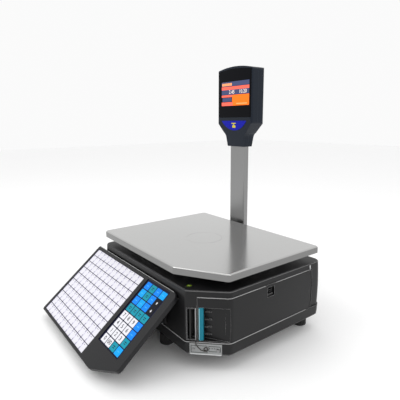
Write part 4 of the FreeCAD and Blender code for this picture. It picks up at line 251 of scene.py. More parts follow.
@dataclass(frozen=True)
class BrushedMetal(Finish):
    """Rolled or brushed metal: fine parallel lines along one direction; its sides can be painted darker as
    shade.
    """

    along: Axis = Axis.X
    line_mm: float = 0.5
    line_length_mm: float = 45.0
    line_depth_mm: float = 0.006
    streaks: float = 0.10
    anisotropy: float = 0.35
    edge_mm: float = 0.5
    side_shade_share: float = 1.0
    side_to: float = 0.2
    top_from: float = 0.7
    gloss_spread: float = 0.3
    bump: float = 0.5

    def dress(self, tree: Tree, shader: bpy.types.Node, place: Socket) -> None:
        """Add the grain lines, the streaks, the painted shade on the sides and the rounded edges."""
        stretch = [1 / (self.line_mm * MM)] * 3
        stretch[self.along.value] = 1 / (self.line_length_mm * MM)
        squeezed = add_node(tree, "ShaderNodeMapping", {"Vector": place, "Scale": stretch})
        lines = add_node(tree, "ShaderNodeTexNoise",
                         {"Vector": squeezed.outputs["Vector"], "Scale": 1.0, "Detail": 5.0,
                          "Roughness": 0.65})
        streaked = add_node(tree, "ShaderNodeMixRGB",
                            {"Fac": lines.outputs["Fac"],
                             "Color1": dimmed(self.colour, 1 - self.streaks),
                             "Color2": dimmed(self.colour, 1 + self.streaks)})
        # Painted shade: faces that turn from up towards the side are darkened, down to the given share of the
        # colour.
        facing = add_node(tree, "ShaderNodeNewGeometry")
        upward = add_node(tree, "ShaderNodeSeparateXYZ", {"Vector": facing.outputs["Normal"]})
        level = add_node(tree, "ShaderNodeMapRange",
                         {"Value": upward.outputs["Z"], "From Min": self.side_to, "From Max": self.top_from,
                          "To Min": self.side_shade_share, "To Max": 1.0})
        shaded = add_node(tree, "ShaderNodeVectorMath",
                          {0: streaked.outputs["Color"], "Scale": level.outputs["Result"]},
                          operation="SCALE")
        soft = add_node(tree, "ShaderNodeBevel", {"Radius": self.edge_mm * MM}, samples=BEVEL_SAMPLES)
        self.relief(tree, shader, shaded.outputs["Vector"], lines.outputs["Fac"], self.line_depth_mm,
                    (self.roughness * (1 - self.gloss_spread), self.roughness * (1 + self.gloss_spread)),
                    soft.outputs["Normal"])
        fill(tree, shader, {"Metallic": 1.0, "Anisotropic": self.anisotropy})


@dataclass(frozen=True)
class PrintedFoil(Finish):
    """Printed polyester film over the keys: even ink under a satin, faintly rippled face."""

    ior: float = 1.57
    ripple_mm: float = 9.0
    ripple_depth_mm: float = 0.05
    spread: float = 0.03
    tone_mm: float = 14.0
    coat: float = 0.0
    coat_roughness: float = 0.25
    specular: float = 0.12
    bump: float = 0.25
    gloss_below: float = 0.05
    gloss_above: float = 0.08

    def dress(self, tree: Tree, shader: bpy.types.Node, place: Socket) -> None:
        """Add the ink's slow change of tone and the film's ripple."""
        colour = self.cloudy(tree, place, self.tone_mm, self.spread)
        ripple = add_node(tree, "ShaderNodeTexNoise",
                          {"Vector": place, "Scale": 1 / (self.ripple_mm * MM), "Detail": 2.0})
        self.relief(tree, shader, colour, ripple.outputs["Fac"], self.ripple_depth_mm,
                    (self.roughness - self.gloss_below, self.roughness + self.gloss_above))
        fill(tree, shader, {"Specular IOR Level": self.specular, "Coat Weight": self.coat,
                            "Coat Roughness": self.coat_roughness})


@dataclass(frozen=True)
class Elastomer(Finish):
    """Moulded rubber: matt, with a fine skin and a little grey dust on it."""

    grain_mm: float = 1.2
    grain_depth_mm: float = 0.08
    bump: float = 0.4
    dust: str = "#3A3835"
    dust_from: float = 0.45
    dust_full: float = 0.8
    most_dust: float = 0.5

    def dress(self, tree: Tree, shader: bpy.types.Node, place: Socket) -> None:
        """Add the skin's grain and the dust."""
        grain = add_node(tree, "ShaderNodeTexNoise",
                         {"Vector": place, "Scale": 1 / (self.grain_mm * MM), "Detail": 5.0})
        amount = add_node(tree, "ShaderNodeMapRange",
                          {"Value": grain.outputs["Fac"], "From Min": self.dust_from,
                           "From Max": self.dust_full, "To Min": 0.0, "To Max": self.most_dust})
        colour = add_node(tree, "ShaderNodeMixRGB",
                          {"Fac": amount.outputs["Result"], "Color1": linear(self.colour),
                           "Color2": linear(self.dust)})
        self.relief(tree, shader, colour.outputs["Color"], grain.outputs["Fac"], self.grain_depth_mm)


@dataclass(frozen=True)
class PaperStock(Finish):
    """Paper or board: matt, fibrous and slightly mottled."""

    fibre_mm: float = 1.0
    fibre_depth_mm: float = 0.06
    mottle_mm: float = 6.0
    spread: float = 0.05
    bump: float = 0.3

    def dress(self, tree: Tree, shader: bpy.types.Node, place: Socket) -> None:
        """Add fibres and mottling."""
        colour = self.cloudy(tree, place, self.mottle_mm, self.spread)
        fibres = add_node(tree, "ShaderNodeTexNoise",
                          {"Vector": place, "Scale": 1 / (self.fibre_mm * MM), "Detail": 6.0,
                           "Roughness": 0.7})
        self.relief(tree, shader, colour, fibres.outputs["Fac"], self.fibre_depth_mm)


@dataclass(frozen=True)
class ClearFluid(Finish):
    """Tinted spirit in a clear vial: glossy and let through by light."""

    clearness: float = 0.5
    cloud_mm: float = 5.0
    spread: float = 0.12

    def dress(self, tree: Tree, shader: bpy.types.Node, place: Socket) -> None:
        """Let light through and vary the fluid's tint a little."""
        colour = self.cloudy(tree, place, self.cloud_mm, self.spread)
        fill(tree, shader, {"Transmission Weight": self.clearness, "Base Color": colour})


@dataclass(frozen=True)
class LitCrystal(Finish):
    """Backlit liquid crystal behind glass: it glows evenly, in fine rows, under a clear gloss."""

    glow: float = 1.0
    row_mm: float = 0.8
    row_dark: float = 0.86
    specular: float = 0.2
    coat: float = 0.1
    coat_roughness: float = 0.03

    def dress(self, tree: Tree, shader: bpy.types.Node, place: Socket) -> None:
        """Add the glow with its rows of dots, drawn coarse enough to show, and the gloss."""
        rows = add_node(tree, "ShaderNodeTexWave",
                        {"Vector": place, "Scale": 1 / (self.row_mm * MM * math.pi * 2)},
                        wave_type="BANDS", bands_direction="Z")
        shade = add_node(tree, "ShaderNodeMapRange",
                         {"Value": rows.outputs["Fac"], "To Min": self.row_dark, "To Max": 1.0})
        colour = add_node(tree, "ShaderNodeMixRGB",
                          {"Fac": shade.outputs["Result"], "Color1": (0.0, 0.0, 0.0, 1.0),
                           "Color2": linear(self.colour)})
        fill(tree, shader, {"Specular IOR Level": self.specular, "Coat Weight": self.coat,
                            "Coat Roughness": self.coat_roughness, "Emission Strength": self.glow,
                            "Base Color": colour.outputs["Color"], "Emission Color": colour.outputs["Color"]})


# Every moulded finish lightens its edges with its edge colour: painted highlight with slight rubbing.
# Charcoal ABS of the casework: eroded mould grain gives a soft, wide sheen; its strong pale edges are painted
# highlight.
CHARCOAL_ABS = MouldedPlastic("charcoal_abs_moulded", "#161617", 0.42, rub_and_highlight=0.75,
                              rub_and_highlight_colour="#B4B4B4", edge_mm=1.0)
# Keypad bezel ABS: a shade darker and a little glossier.
KEYPAD_ABS = MouldedPlastic("keypad_abs_moulded", "#19191B", 0.38, rub_and_highlight=0.35, rub_and_highlight_colour="#787878")
# Display head ABS: blue-black with a satin face.
HEAD_ABS = MouldedPlastic("blue_black_abs_moulded", "#101925", 0.36, rub_and_highlight=0.28, rub_and_highlight_colour="#4A525C",
                          specular=0.18)
# Release lever: teal polypropylene with a waxy gloss.
LEVER_PP = MouldedPlastic("teal_polypropylene", "#0B7488", 0.30, 1.49, rub_and_highlight=0.6, rub_and_highlight_colour="#A8D4DC",
                          grain_depth_mm=0.02)
# Label slot frame: mid-grey ABS whose inner walls catch the light; their pale edges are painted highlight.
SLOT_ABS = MouldedPlastic("slot_abs_moulded", "#2E2E30", 0.40, rub_and_highlight=0.6, rub_and_highlight_colour="#C8C8C8")
# Seal plate: pale grey styrene, satin.
SEAL_STYRENE = MouldedPlastic("seal_styrene_moulded", "#909292", 0.40, 1.59, rub_and_highlight=0.5, rub_and_highlight_colour="#DADADA")
# Painted highlight along the edges of door and base: pale lines where the light catches them.
EDGE_HIGHLIGHT = MouldedPlastic("edge_painted_highlight", "#BEBEBE", 0.30, grain_depth_mm=0.01, edge_mm=0.1)
# Upper rim of the housing: the same painted highlight, less pale.
RIM_HIGHLIGHT = MouldedPlastic("rim_painted_highlight", "#747474", 0.34, grain_depth_mm=0.01, edge_mm=0.1)
# Edge of the lever: a pale teal line of painted highlight.
LEVER_HIGHLIGHT = MouldedPlastic("teal_painted_highlight", "#9CC6CE", 0.30, 1.49, grain_depth_mm=0.01, edge_mm=0.1)
# Black polyamide of sockets, spindle and bezels.
BLACK_NYLON = MouldedPlastic("black_polyamide", "#0C0C0C", 0.40, rub_and_highlight=0.15)
# Acetal gears: waxy off-white.
ACETAL = MouldedPlastic("acetal_machined", "#E2DFD3", 0.32, 1.48, rub_and_highlight=0.2, rub_and_highlight_colour="#FFFFFF")
# Display window: black-backed acrylic, glossy but weak in its reflections.
WINDOW_ACRYLIC = MouldedPlastic("black_backed_acrylic", "#05060B", 0.12, 1.49, rub_and_highlight=0.1,
                                grain_depth_mm=0.0, spread=0.02, specular=0.08)
# Circuit board: green solder mask over fibreglass.
SOLDER_MASK = MouldedPlastic("green_solder_mask", "#12502F", 0.30, 1.55, rub_and_highlight=0.2, rub_and_highlight_colour="#C8B878")
# Weighing pan: stainless steel, finely polished along its length; its sides are painted darker as shade.
PAN_STEEL = BrushedMetal("polished_stainless_pan", "#BDBDBC", 0.17, streaks=0.05, line_mm=0.6,
                         line_length_mm=70.0, line_depth_mm=0.003, side_shade_share=0.42)
# Pole and seal screws: satin anodised aluminium, drawn along its height.
POLE_ALUMINIUM = BrushedMetal("satin_anodised_aluminium", "#8F8F8F", 0.34, along=Axis.Z)
# Load cell and print head: milled, clear-anodised aluminium.
MILLED_ALUMINIUM = BrushedMetal("milled_aluminium", "#C4C5C7", 0.30, along=Axis.Y)
# Chassis and brackets: hot-dip galvanised steel sheet.
GALVANISED_STEEL = BrushedMetal("galvanised_steel_sheet", "#B4B7B8", 0.38, line_mm=3.0, line_length_mm=5.0,
                                line_depth_mm=0.02, streaks=0.18, anisotropy=0.0)
# Screws, pins and wire: bright zinc plating.
ZINC_PLATE = BrushedMetal("zinc_plated_steel", "#C9CACB", 0.25, along=Axis.Z, line_length_mm=6.0)
# Peel bar: steel painted dark as the shade in the slot.
SHADED_STEEL = BrushedMetal("steel_bar_painted_shade", "#3C3C3C", 0.5, along=Axis.Z)
# Dark wire of the seal.
SEAL_WIRE = BrushedMetal("tarnished_seal_wire", "#4A4744", 0.45, line_length_mm=2.0)
# Motor pinion and inlet blades: machined brass.
BRASS = BrushedMetal("machined_brass", "#C79A4B", 0.25, line_length_mm=3.0)
# Platform carrier: cast aluminium under grey paint.
CARRIER_PAINT = MouldedPlastic("grey_painted_casting", "#5A5C5E", 0.55, 1.5, grain_mm=2.0,
                               grain_depth_mm=0.15, rub_and_highlight_colour="#A0A0A0")
# Brackets and motor can: black powder coat with an orange-peel face.
POWDER_COAT = MouldedPlastic("black_powder_coat", "#1A1A1B", 0.45, 1.5, grain_mm=2.0, grain_depth_mm=0.1)
# Feet: black nitrile rubber.
FOOT_RUBBER = Elastomer("nitrile_foot_rubber", "#151515", 0.75, 1.52)
# Platen and pan pads: ground rubber.
PLATEN_RUBBER = Elastomer("ground_platen_rubber", "#1D1D1F", 0.6, 1.52, grain_mm=0.6)
# Labels: coated thermal paper.
LABEL_PAPER = PaperStock("thermal_label_paper", "#EFEDE6", 0.7, 1.5)
# Core: wound grey-brown board.
CORE_BOARD = PaperStock("wound_core_board", "#9A7B57", 0.9, 1.5, fibre_mm=2.0)
# Level: yellow-green spirit, glass-smooth, with its air bubble.
LEVEL_SPIRIT = ClearFluid("yellow_green_spirit", "#9BC32A", 0.05, 1.36)
LEVEL_AIR = ClearFluid("vial_air_bubble", "#E6F2A0", 0.03, 1.1)
# Foils: satin polyester film with ink on its back, white cells with lilac rims of painted shadow, dark lines
# and grey marks.
PRESET_WHITE = PrintedFoil("preset_white_ink", "#E2E1E8", 0.42)
PRESET_LILAC = PrintedFoil("preset_lilac_painted_shadow", "#C9C6DC", 0.42)
PRESET_LINE = PrintedFoil("preset_line_ink", "#141519", 0.45)
PRESET_MARK = PrintedFoil("preset_mark_ink", "#74747E", 0.45)
# Seal plate: matt screen print and a paler lower edge of painted highlight.
SEAL_PRINT = PrintedFoil("seal_print_ink", "#3C3E3E", 0.5, 1.5)
SEAL_HIGHLIGHT = PrintedFoil("seal_painted_highlight", "#D4D6D6", 0.4, 1.5)
# Function foil: navy ground with dark and pale legends, satin.
FUNCTION_NAVY = PrintedFoil("function_navy_ink", "#050A2C", 0.35)
LEGEND_DARK = PrintedFoil("legend_dark_ink", "#14161C", 0.45)
LEGEND_PALE = PrintedFoil("legend_pale_ink", "#4CB4FA", 0.45)
# Badge: blue lacquer under a thin gloss, with a satin yellow mark.
BADGE_BLUE = PrintedFoil("badge_blue_lacquer", "#0612A0", 0.25, 1.5, coat=0.05)
BADGE_YELLOW = PrintedFoil("badge_yellow_ink", "#D8C832", 0.35, 1.5)


class KeyInk(Enum):
    """Inks of the function keys."""

    BLUE = PrintedFoil("key_blue_ink", "#0084F2", 0.36)
    SKY = PrintedFoil("key_sky_ink", "#00A2F6", 0.36)
    TEAL = PrintedFoil("key_teal_ink", "#0892A8", 0.36)
    BLACK = PrintedFoil("key_black_ink", "#080A14", 0.36)
    WHITE = PrintedFoil("key_white_ink", "#E4E4EA", 0.40)


class ScreenLight(Enum):
    """Colours that the lit screen shows."""

    SLATE = LitCrystal("screen_slate", "#3C4468", 0.15, 1.5, glow=0.40)
    CORAL = LitCrystal("screen_coral", "#F0604E", 0.15, 1.5, glow=0.55)
    ORANGE = LitCrystal("screen_orange", "#F56C08", 0.15, 1.5, glow=0.6)
    AMBER = LitCrystal("screen_amber", "#F7A060", 0.15, 1.5, glow=0.6)
    PALE = LitCrystal("screen_pale", "#F4E4D8", 0.15, 1.5, glow=0.5)


# ---------------------------------------------------------------- mesh helpers
Outline = list[Vector]


@dataclass
class Plane:
    """A flat drawing plane: an origin and the directions across and up it."""

    origin: Vector
    across: Vector
    up: Vector

    @property
    def out(self) -> Vector:
        """Direction that the plane faces."""
        return self.across.cross(self.up)

    def at(self, u: float, v: float, w: float = 0.0) -> Vector:
        """Point at u across, v up and w out of the plane."""
        return self.origin + self.across * u + self.up * v + self.out * w

    def matrix(self, u: float, v: float, w: float) -> Matrix:
        """Placing of a flat shape that is drawn about a point of the plane."""
        turn = Matrix((self.across, self.up, self.out)).transposed().to_4x4()
        return Matrix.Translation(self.at(u, v, w)) @ turn


def rectangle(width: float, height: float, radius: float, steps: int = 3, u: float = 0.0,
              v: float = 0.0) -> Outline:
    """Outline of a rectangle with round corners.

    Args:
        width: Full width.
        height: Full height.
        radius: Radius of the corners.
        steps: Number of straight bits in each corner.
        u: Its middle across.
        v: Its middle up.

    Returns:
        The points, counter-clockwise.
    """
    points = []
    for quarter, (sx, sy) in enumerate(((1, 1), (-1, 1), (-1, -1), (1, -1))):
        middle = Vector((sx * (width / 2 - radius), sy * (height / 2 - radius)))
        for step in range(steps + 1):
            angle = math.pi / 2 * (quarter + step / steps)
            points.append(middle + Vector((math.cos(angle), math.sin(angle))) * radius)
    return shifted(points, u, v)


def shifted(outline: Outline, u: float, v: float) -> Outline:
    """Outline moved by u across and v up."""
    return [point + Vector((u, v)) for point in outline]


def inset(outline: Outline, distance: float) -> Outline:
    """Outline moved inwards by a distance, with mitred corners.

    Args:
        outline: Points, counter-clockwise.
        distance: How far to move in.

    Returns:
        As many points as before.
    """
    moved = []
    for index, here in enumerate(outline):
        before = (here - outline[index - 1]).normalized()
        after = (outline[(index + 1) % len(outline)] - here).normalized()
        first = Vector((-before.y, before.x))
        both = (first + Vector((-after.y, after.x))).normalized()
        moved.append(here + both * distance / max(both.dot(first), 0.4))
    return moved


class Piece:
    """One visible piece in the making: faces are added, then it is named, dressed and given a body."""

    def __init__(self, name: str) -> None:
        """Start an empty piece of this name."""
        self.name = name
        self.mesh = bmesh.new()
        self.materials: list[bpy.types.Material] = []

    def colour(self, finish: Finish) -> int:
        """Number of a finish among the piece's materials, adding it when it is new."""
        material = finish.material()
        if material not in self.materials:
            self.materials.append(material)
        return self.materials.index(material)

    def skin(self, rings: Sequence[Sequence[Any]], finish: Finish) -> list[Any]:
        """Close a stack of rings of mesh corners with walls and two ends.

        Args:
            rings: The rings from back to face, all with as many corners.
            finish: What it is made of.

        Returns:
            The new mesh faces.
        """
        faces = [self.mesh.faces.new(rings[0][::-1]), self.mesh.faces.new(rings[-1])]
        for lower, upper in zip(rings, rings[1:]):
            for index in range(len(lower)):
                after = (index + 1) % len(lower)
                faces.append(self.mesh.faces.new((lower[index], lower[after], upper[after], upper[index])))
        number = self.colour(finish)
        for face in faces:
            face.material_index = number
        return faces

    def slab(self, plane: Plane, outline: Outline, low: float, high: float, finish: Finish,
             edge: float = 0.0) -> None:
        """Add a closed plate in an outline, with a bevelled upper edge.

        Args:
            plane: The plane that the outline is drawn on.
            outline: Points, counter-clockwise.
            low: Height of the plate's back over the plane.
            high: Height of its face.
            finish: What it is made of.
            edge: Width of the bevel.
        """
        loops = [(outline, low), (outline, high - edge)]
        if edge > 0:
            loops += [(inset(outline, edge * 0.3), high - edge * 0.3), (inset(outline, edge), high)]
        rings = [[self.mesh.verts.new(plane.at(p.x, p.y, w)) for p in points] for points, w in loops]
        self.skin(rings, finish)

    def text(self, plane: Plane, words: str, height: float, u: float, v: float, w: float,
             finish: Finish, weight: float = 0.0) -> None:
        """Add raised figures.

        Args:
            plane: The plane they stand on.
            words: The figures.
            height: Height of a figure.
            u: Middle across.
            v: Middle up.
            w: Height over the plane of their face's back.
            finish: Their ink.
            weight: How much thicker their strokes are, as a share of the height.
        """
        number = self.colour(finish)
        curve = bpy.data.curves.new(self.name + "_figures", "FONT")
        curve.body = words
        curve.size = height / 0.7
        curve.align_x = "CENTER"
        curve.align_y = "CENTER"
        curve.extrude = 0.02 * MM
        curve.offset = height * weight
        curve.resolution_u = 3
        holder = bpy.data.objects.new(curve.name, curve)
        bpy.context.scene.collection.objects.link(holder)
        bpy.context.view_layer.update()
        shape = bpy.data.meshes.new_from_object(holder)
        shape.transform(plane.matrix(u, v, w))
        before = len(self.mesh.faces)
        self.mesh.from_mesh(shape)
        self.mesh.faces.ensure_lookup_table()
        for face in self.mesh.faces[before:]:
            face.material_index = number
        bpy.data.objects.remove(holder)
        bpy.data.meshes.remove(shape)
        bpy.data.curves.remove(curve)

    def rod(self, points: Sequence[Vector], radius: float, finish: Finish, sides: int = 10) -> None:
        """Add a round rod along a line of points, closed at both ends.

        Args:
            points: The rod's middle line.
            radius: Its radius.
            finish: What it is made of.
            sides: Number of sides.
        """
        rings = []
        side = Vector((0, 0, 1))
        for index, point in enumerate(points):
            ahead = (points[min(index + 1, len(points) - 1)] - points[max(index - 1, 0)]).normalized()
            side = side - ahead * side.dot(ahead)
            side = side.normalized() if side.length > 1e-6 else ahead.orthogonal().normalized()
            other = ahead.cross(side)
            ring = []
            for step in range(sides):
                angle = 2 * math.pi * step / sides
                offset = side * math.cos(angle) + other * math.sin(angle)
                ring.append(self.mesh.verts.new(point + offset * radius))
            rings.append(ring)
        for face in self.skin(rings, finish):
            face.smooth = len(face.verts) == 4

    def done(self, body: str, replaces: Iterable[str] = ()) -> bpy.types.Object:
        """Turn the faces into an object that rides on a body.

        Args:
            body: The body's name.
            replaces: Nodes that it stands for.

        Returns:
            The new object.
        """
        bmesh.ops.recalc_face_normals(self.mesh, faces=self.mesh.faces[:])
        data = bpy.data.meshes.new(self.name)
        self.mesh.to_mesh(data)
        self.mesh.free()
        for material in self.materials:
            data.materials.append(material)
        made = bpy.data.objects.new(self.name, data)
        bpy.context.scene.collection.objects.link(made)
        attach(made, body)
        names = list(replaces)
        if names:
            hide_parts(*names)
        LOG.info("%s: %d faces on %s", self.name, len(data.polygons), body)
        return made


def sheet_plane(node: str) -> tuple[Plane, float, float]:
    """Face of a tilted flat sheet that lies square to X.

    Args:
        node: The sheet's node.

    Returns:
        The plane of its outer face with the origin at its upper left corner, its width and its length.
    """
    low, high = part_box(node)
    corners = [vertex.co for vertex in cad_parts[node].data.vertices]
    left = [corner for corner in corners if corner.x < low.x + 0.1 * MM]
    top = max(left, key=lambda corner: corner.z).copy()
    bottom = min(left, key=lambda corner: corner.y).copy()
    slope = top - bottom
    return Plane(top, Vector((1, 0, 0)), slope.normalized()), high.x - low.x, slope.length


def corner_plane(node: str) -> tuple[Plane, float, float]:
    """Outer face of a piece on the cut corner.

    Args:
        node: The piece's node.

    Returns:
        The plane with the origin at the face's lower left corner, the face's width and its height.
    """
    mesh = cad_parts[node].data
    sides = [face for face in mesh.polygons if face.normal.x > 0.4 and face.normal.y < -0.4]
    out = sum((face.normal * face.area for face in sides), Vector())
    out = Vector((out.x, out.y, 0)).normalized()
    across = Vector((0, 0, 1)).cross(out)
    points = [vertex.co for vertex in mesh.vertices]
    base, tip = min(p.z for p in points), max(p.z for p in points)
    left, right = min(p.dot(across) for p in points), max(p.dot(across) for p in points)
    low = max(p.dot(out) for p in points if p.z < base + 0.2 * MM)
    high = max(p.dot(out) for p in points if p.z > tip - 0.2 * MM)
    origin = across * left + out * low + Vector((0, 0, base))
    slope = out * (high - low) + Vector((0, 0, tip - base))
    return Plane(origin, across, slope.normalized()), right - left, slope.length


def outer_edges(node: str, height: float, middle: Vector) -> list[tuple[Vector, Vector, Vector]]:
    """Outward-facing bits of a node's outline at a height.

    Args:
        node: The node.
        height: Where to slice it.
        middle: A point inside the casework, to tell outward from inward.

    Returns:
        Start, end and outward direction of each bit.
    """
    mesh = bmesh.new()
    mesh.from_mesh(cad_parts[node].data)
    bits = []
    for face in mesh.faces:
        flat = Vector((face.normal.x, face.normal.y, 0))
        heights = [loop.vert.co.z for loop in face.loops]
        if flat.length < 0.7 or min(heights) > height or max(heights) < height:
            continue
        crossings = []
        for edge in face.edges:
            first, second = edge.verts[0].co, edge.verts[1].co
            if (first.z - height) * (second.z - height) < 0:
                crossings.append(first.lerp(second, (height - first.z) / (second.z - first.z)))
        if len(crossings) == 2 and flat.dot(crossings[0] - middle) > 0:
            bits.append((crossings[0], crossings[1], flat.normalized()))
    mesh.free()
    return bits


def dress(finishes: Sequence[tuple[Finish, str]]) -> None:
    """Give model nodes their finishes.

    Args:
        finishes: Each finish with the names of its nodes, spaced apart.
    """
    for finish, names in finishes:
        for node in names.split():
            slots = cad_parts[node].data.materials
            slots.clear()
            slots.append(finish.material())
            LOG.info("%s: %s", node, finish.name)


# ---------------------------------------------------------------- sub-assemblies
@dataclass
class Keypad:
    """Tilted membrane keypad: preset foil at the left, function foil at the right."""

    columns: int = 12
    rows: int = 10
    row_line: float = 1.25 * MM
    column_line: float = 1.0 * MM
    bridge_share: float = 0.34
    stripe: float = 2.8 * MM
    rise: float = 0.30 * MM
    key_gap: float = 1.8 * MM
    rim_v: float = 7.4 * MM
    rim_w: float = 1.3 * MM
    rim_end: float = 12.0 * MM
    rim_radius: float = 0.45 * MM
    key_left: float = 4.0 * MM
    key_top: float = 2.8 * MM
    key_pitch_u: float = 17.65 * MM
    key_pitch_v: float = 16.6 * MM
    figure: float = 7.6 * MM
    figure_weight: float = 0.02
    inks: Sequence[str] = ("BLUE TEAL BLUE SKY", "SKY TEAL BLUE BLACK", "BLUE SKY BLUE BLACK",
                           "TEAL TEAL TEAL TEAL", "WHITE WHITE WHITE BLUE", "WHITE WHITE WHITE BLUE",
                           "WHITE WHITE WHITE TEAL", "WHITE WHITE TEAL SKY")
    figures: Sequence[str] = ("7 8 9", "4 5 6", "1 2 3", "0 00")
    first_figure_row: int = 4
    arrow: Sequence[tuple[float, float]] = ((-2.4, -0.3), (-0.9, -0.3), (-0.9, -2.7), (0.9, -2.7),
                                            (0.9, -0.3), (2.4, -0.3), (0.0, 2.7))
    foil_depth: float = 0.5 * MM
    foil_edge: float = 0.1 * MM
    dash_height: float = 0.7 * MM
    dash_left: float = 4.4 * MM
    dash_down: float = 2.6 * MM
    bar_height: float = 1.3 * MM
    bar_lengths: tuple[float, float] = (7.5 * MM, 6.5 * MM)
    bar_shift: float = 1.6 * MM
    print_rise: float = 0.03 * MM

    def build(self) -> None:
        """Make both foils and dress the cases."""
        dress(((KEYPAD_ABS, "keypad_upper_case"), (CHARCOAL_ABS, "keypad_lower_case"),
               (POWDER_COAT, "keypad_brackets"), (SOLDER_MASK, "keypad_board")))
        self.preset_foil()
        self.function_foil()
        self.rim()

    def rim(self) -> None:
        """Lit upper edge of the keypad's case."""
        plane, _, _ = sheet_plane("preset_sheet")
        low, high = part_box("keypad_upper_case")
        piece = Piece("keypad_rim")
        ends = (low.x + self.rim_end / 2 - plane.origin.x, high.x - self.rim_end - plane.origin.x)
        piece.rod([plane.at(u, self.rim_v, self.rim_w) for u in ends], self.rim_radius, EDGE_HIGHLIGHT, 8)
        piece.done("scale_body")

    def preset_foil(self) -> None:
        """White preset foil: a grid of embossed cells, each with a grey stripe of painted shadow at its left.
        """
        plane, width, length = sheet_plane("preset_sheet")
        piece = Piece("preset_foil")
        back = rectangle(width, length, 1.0 * MM, u=width / 2, v=-length / 2)
        piece.slab(plane, back, -self.foil_depth, 0.0, PRESET_LINE, self.foil_edge)
        pitch_u = width / self.columns
        pitch_v = length / self.rows
        cell_u = pitch_u - self.column_line
        cell_v = pitch_v - self.row_line
        for row in range(self.rows):
            for column in range(self.columns):
                u = (column + 0.5) * pitch_u
                v = -(row + 0.5) * pitch_v
                cell = rectangle(cell_u, cell_v, 0.7 * MM, 2, u, v)
                # Lilac cell under a white window set to its right: the lilac rim and left stripe are painted
                # shadow.
                piece.slab(plane, cell, 0.0, self.rise * 0.6, PRESET_LILAC, self.foil_edge)
                if column:
                    bridge = rectangle(2 * self.column_line, cell_v * self.bridge_share, 0.2 * MM, 1,
                                       u - pitch_u / 2, v)
                    piece.slab(plane, bridge, 0.0, self.rise * 0.7, PRESET_WHITE)
                window = rectangle(cell_u - self.stripe, cell_v - 0.5 * MM, 0.6 * MM, 2,
                                   u + self.stripe / 2 - 0.2 * MM, v)
                piece.slab(plane, window, self.rise * 0.5, self.rise, PRESET_WHITE, 0.12 * MM)
                self.preset_mark(piece, plane, row, column, u - cell_u / 2, v + cell_v / 2)
        piece.done("scale_body", ["preset_sheet"])

    def preset_mark(self, piece: Piece, plane: Plane, row: int, column: int, left: float, top: float) -> None:
        """Print the short grey dashes in a cell's upper left, longer and darker in the lower rows.

        Args:
            piece: The foil.
            plane: Its face.
            row: Row of the cell from the top.
            column: Column of the cell from the left.
            left: The cell's left side.
            top: The cell's upper side.
        """
        length = (2.0 + 0.35 * row + 0.9 * ((row * 7 + column * 3) % 4)) * MM
        dash = rectangle(length, self.dash_height, TIGHT, 2, left + self.dash_left + length / 2,
                         top - self.dash_down)
        piece.slab(plane, dash, self.rise * 0.9, self.rise + self.print_rise, PRESET_MARK)

    def function_foil(self) -> None:
        """Navy function foil with four columns of coloured keys, figures and marks."""
        plane, width, length = sheet_plane("function_sheet")
        piece = Piece("function_foil")
        back = rectangle(width, length, 1.5 * MM, u=width / 2, v=-length / 2)
        piece.slab(plane, back, -self.foil_depth, 0.0, FUNCTION_NAVY, self.foil_edge)
        for row, names in enumerate(self.inks):
            for column, name in enumerate(names.split()):
                u = self.key_left + (column + 0.5) * self.key_pitch_u
                v = -self.key_top - (row + 0.5) * self.key_pitch_v
                key = rectangle(self.key_pitch_u - self.key_gap, self.key_pitch_v - self.key_gap,
                                0.9 * MM, u=u, v=v)
                piece.slab(plane, key, 0.0, self.rise, KeyInk[name].value, 0.2 * MM)
                self.key_mark(piece, plane, KeyInk[name], row, column, u, v)
        piece.done("scale_body", ["function_sheet"])

    def key_mark(self, piece: Piece, plane: Plane, ink: KeyInk, row: int, column: int, u: float,
                 v: float) -> None:
        """Print what a key carries: a figure, an arrow or a plain mark.

        Args:
            piece: The foil.
            plane: Its face.
            ink: The key's ink.
            row: Row of the key from the top.
            column: Column of the key from the left.
            u: The key's middle across.
            v: The key's middle up.
        """
        low, high = self.rise * 0.8, self.rise + self.print_rise
        if ink is KeyInk.WHITE:
            word = self.figures[row - self.first_figure_row].split()[column]
            piece.text(plane, word, self.figure, u, v, self.rise + 0.01 * MM, LEGEND_DARK, self.figure_weight)
        elif ink is KeyInk.BLACK:
            way = 1 if row == 1 else -1
            arrow = [Vector((x * MM, way * y * MM)) for x, y in self.arrow[::way]]
            piece.slab(plane, shifted(arrow, u, v), low, high, PRESET_WHITE)
        else:
            teal = ink is KeyInk.TEAL
            mark, long = (LEGEND_DARK, self.bar_lengths[0]) if teal else (LEGEND_PALE, self.bar_lengths[1])
            for rank, shift in enumerate((self.bar_shift, -self.bar_shift) if teal else (0.0,)):
                bar = rectangle(long * (1 - 0.3 * rank), self.bar_height, 0.5 * MM, 2, u, v + shift)
                piece.slab(plane, bar, low, high, mark)


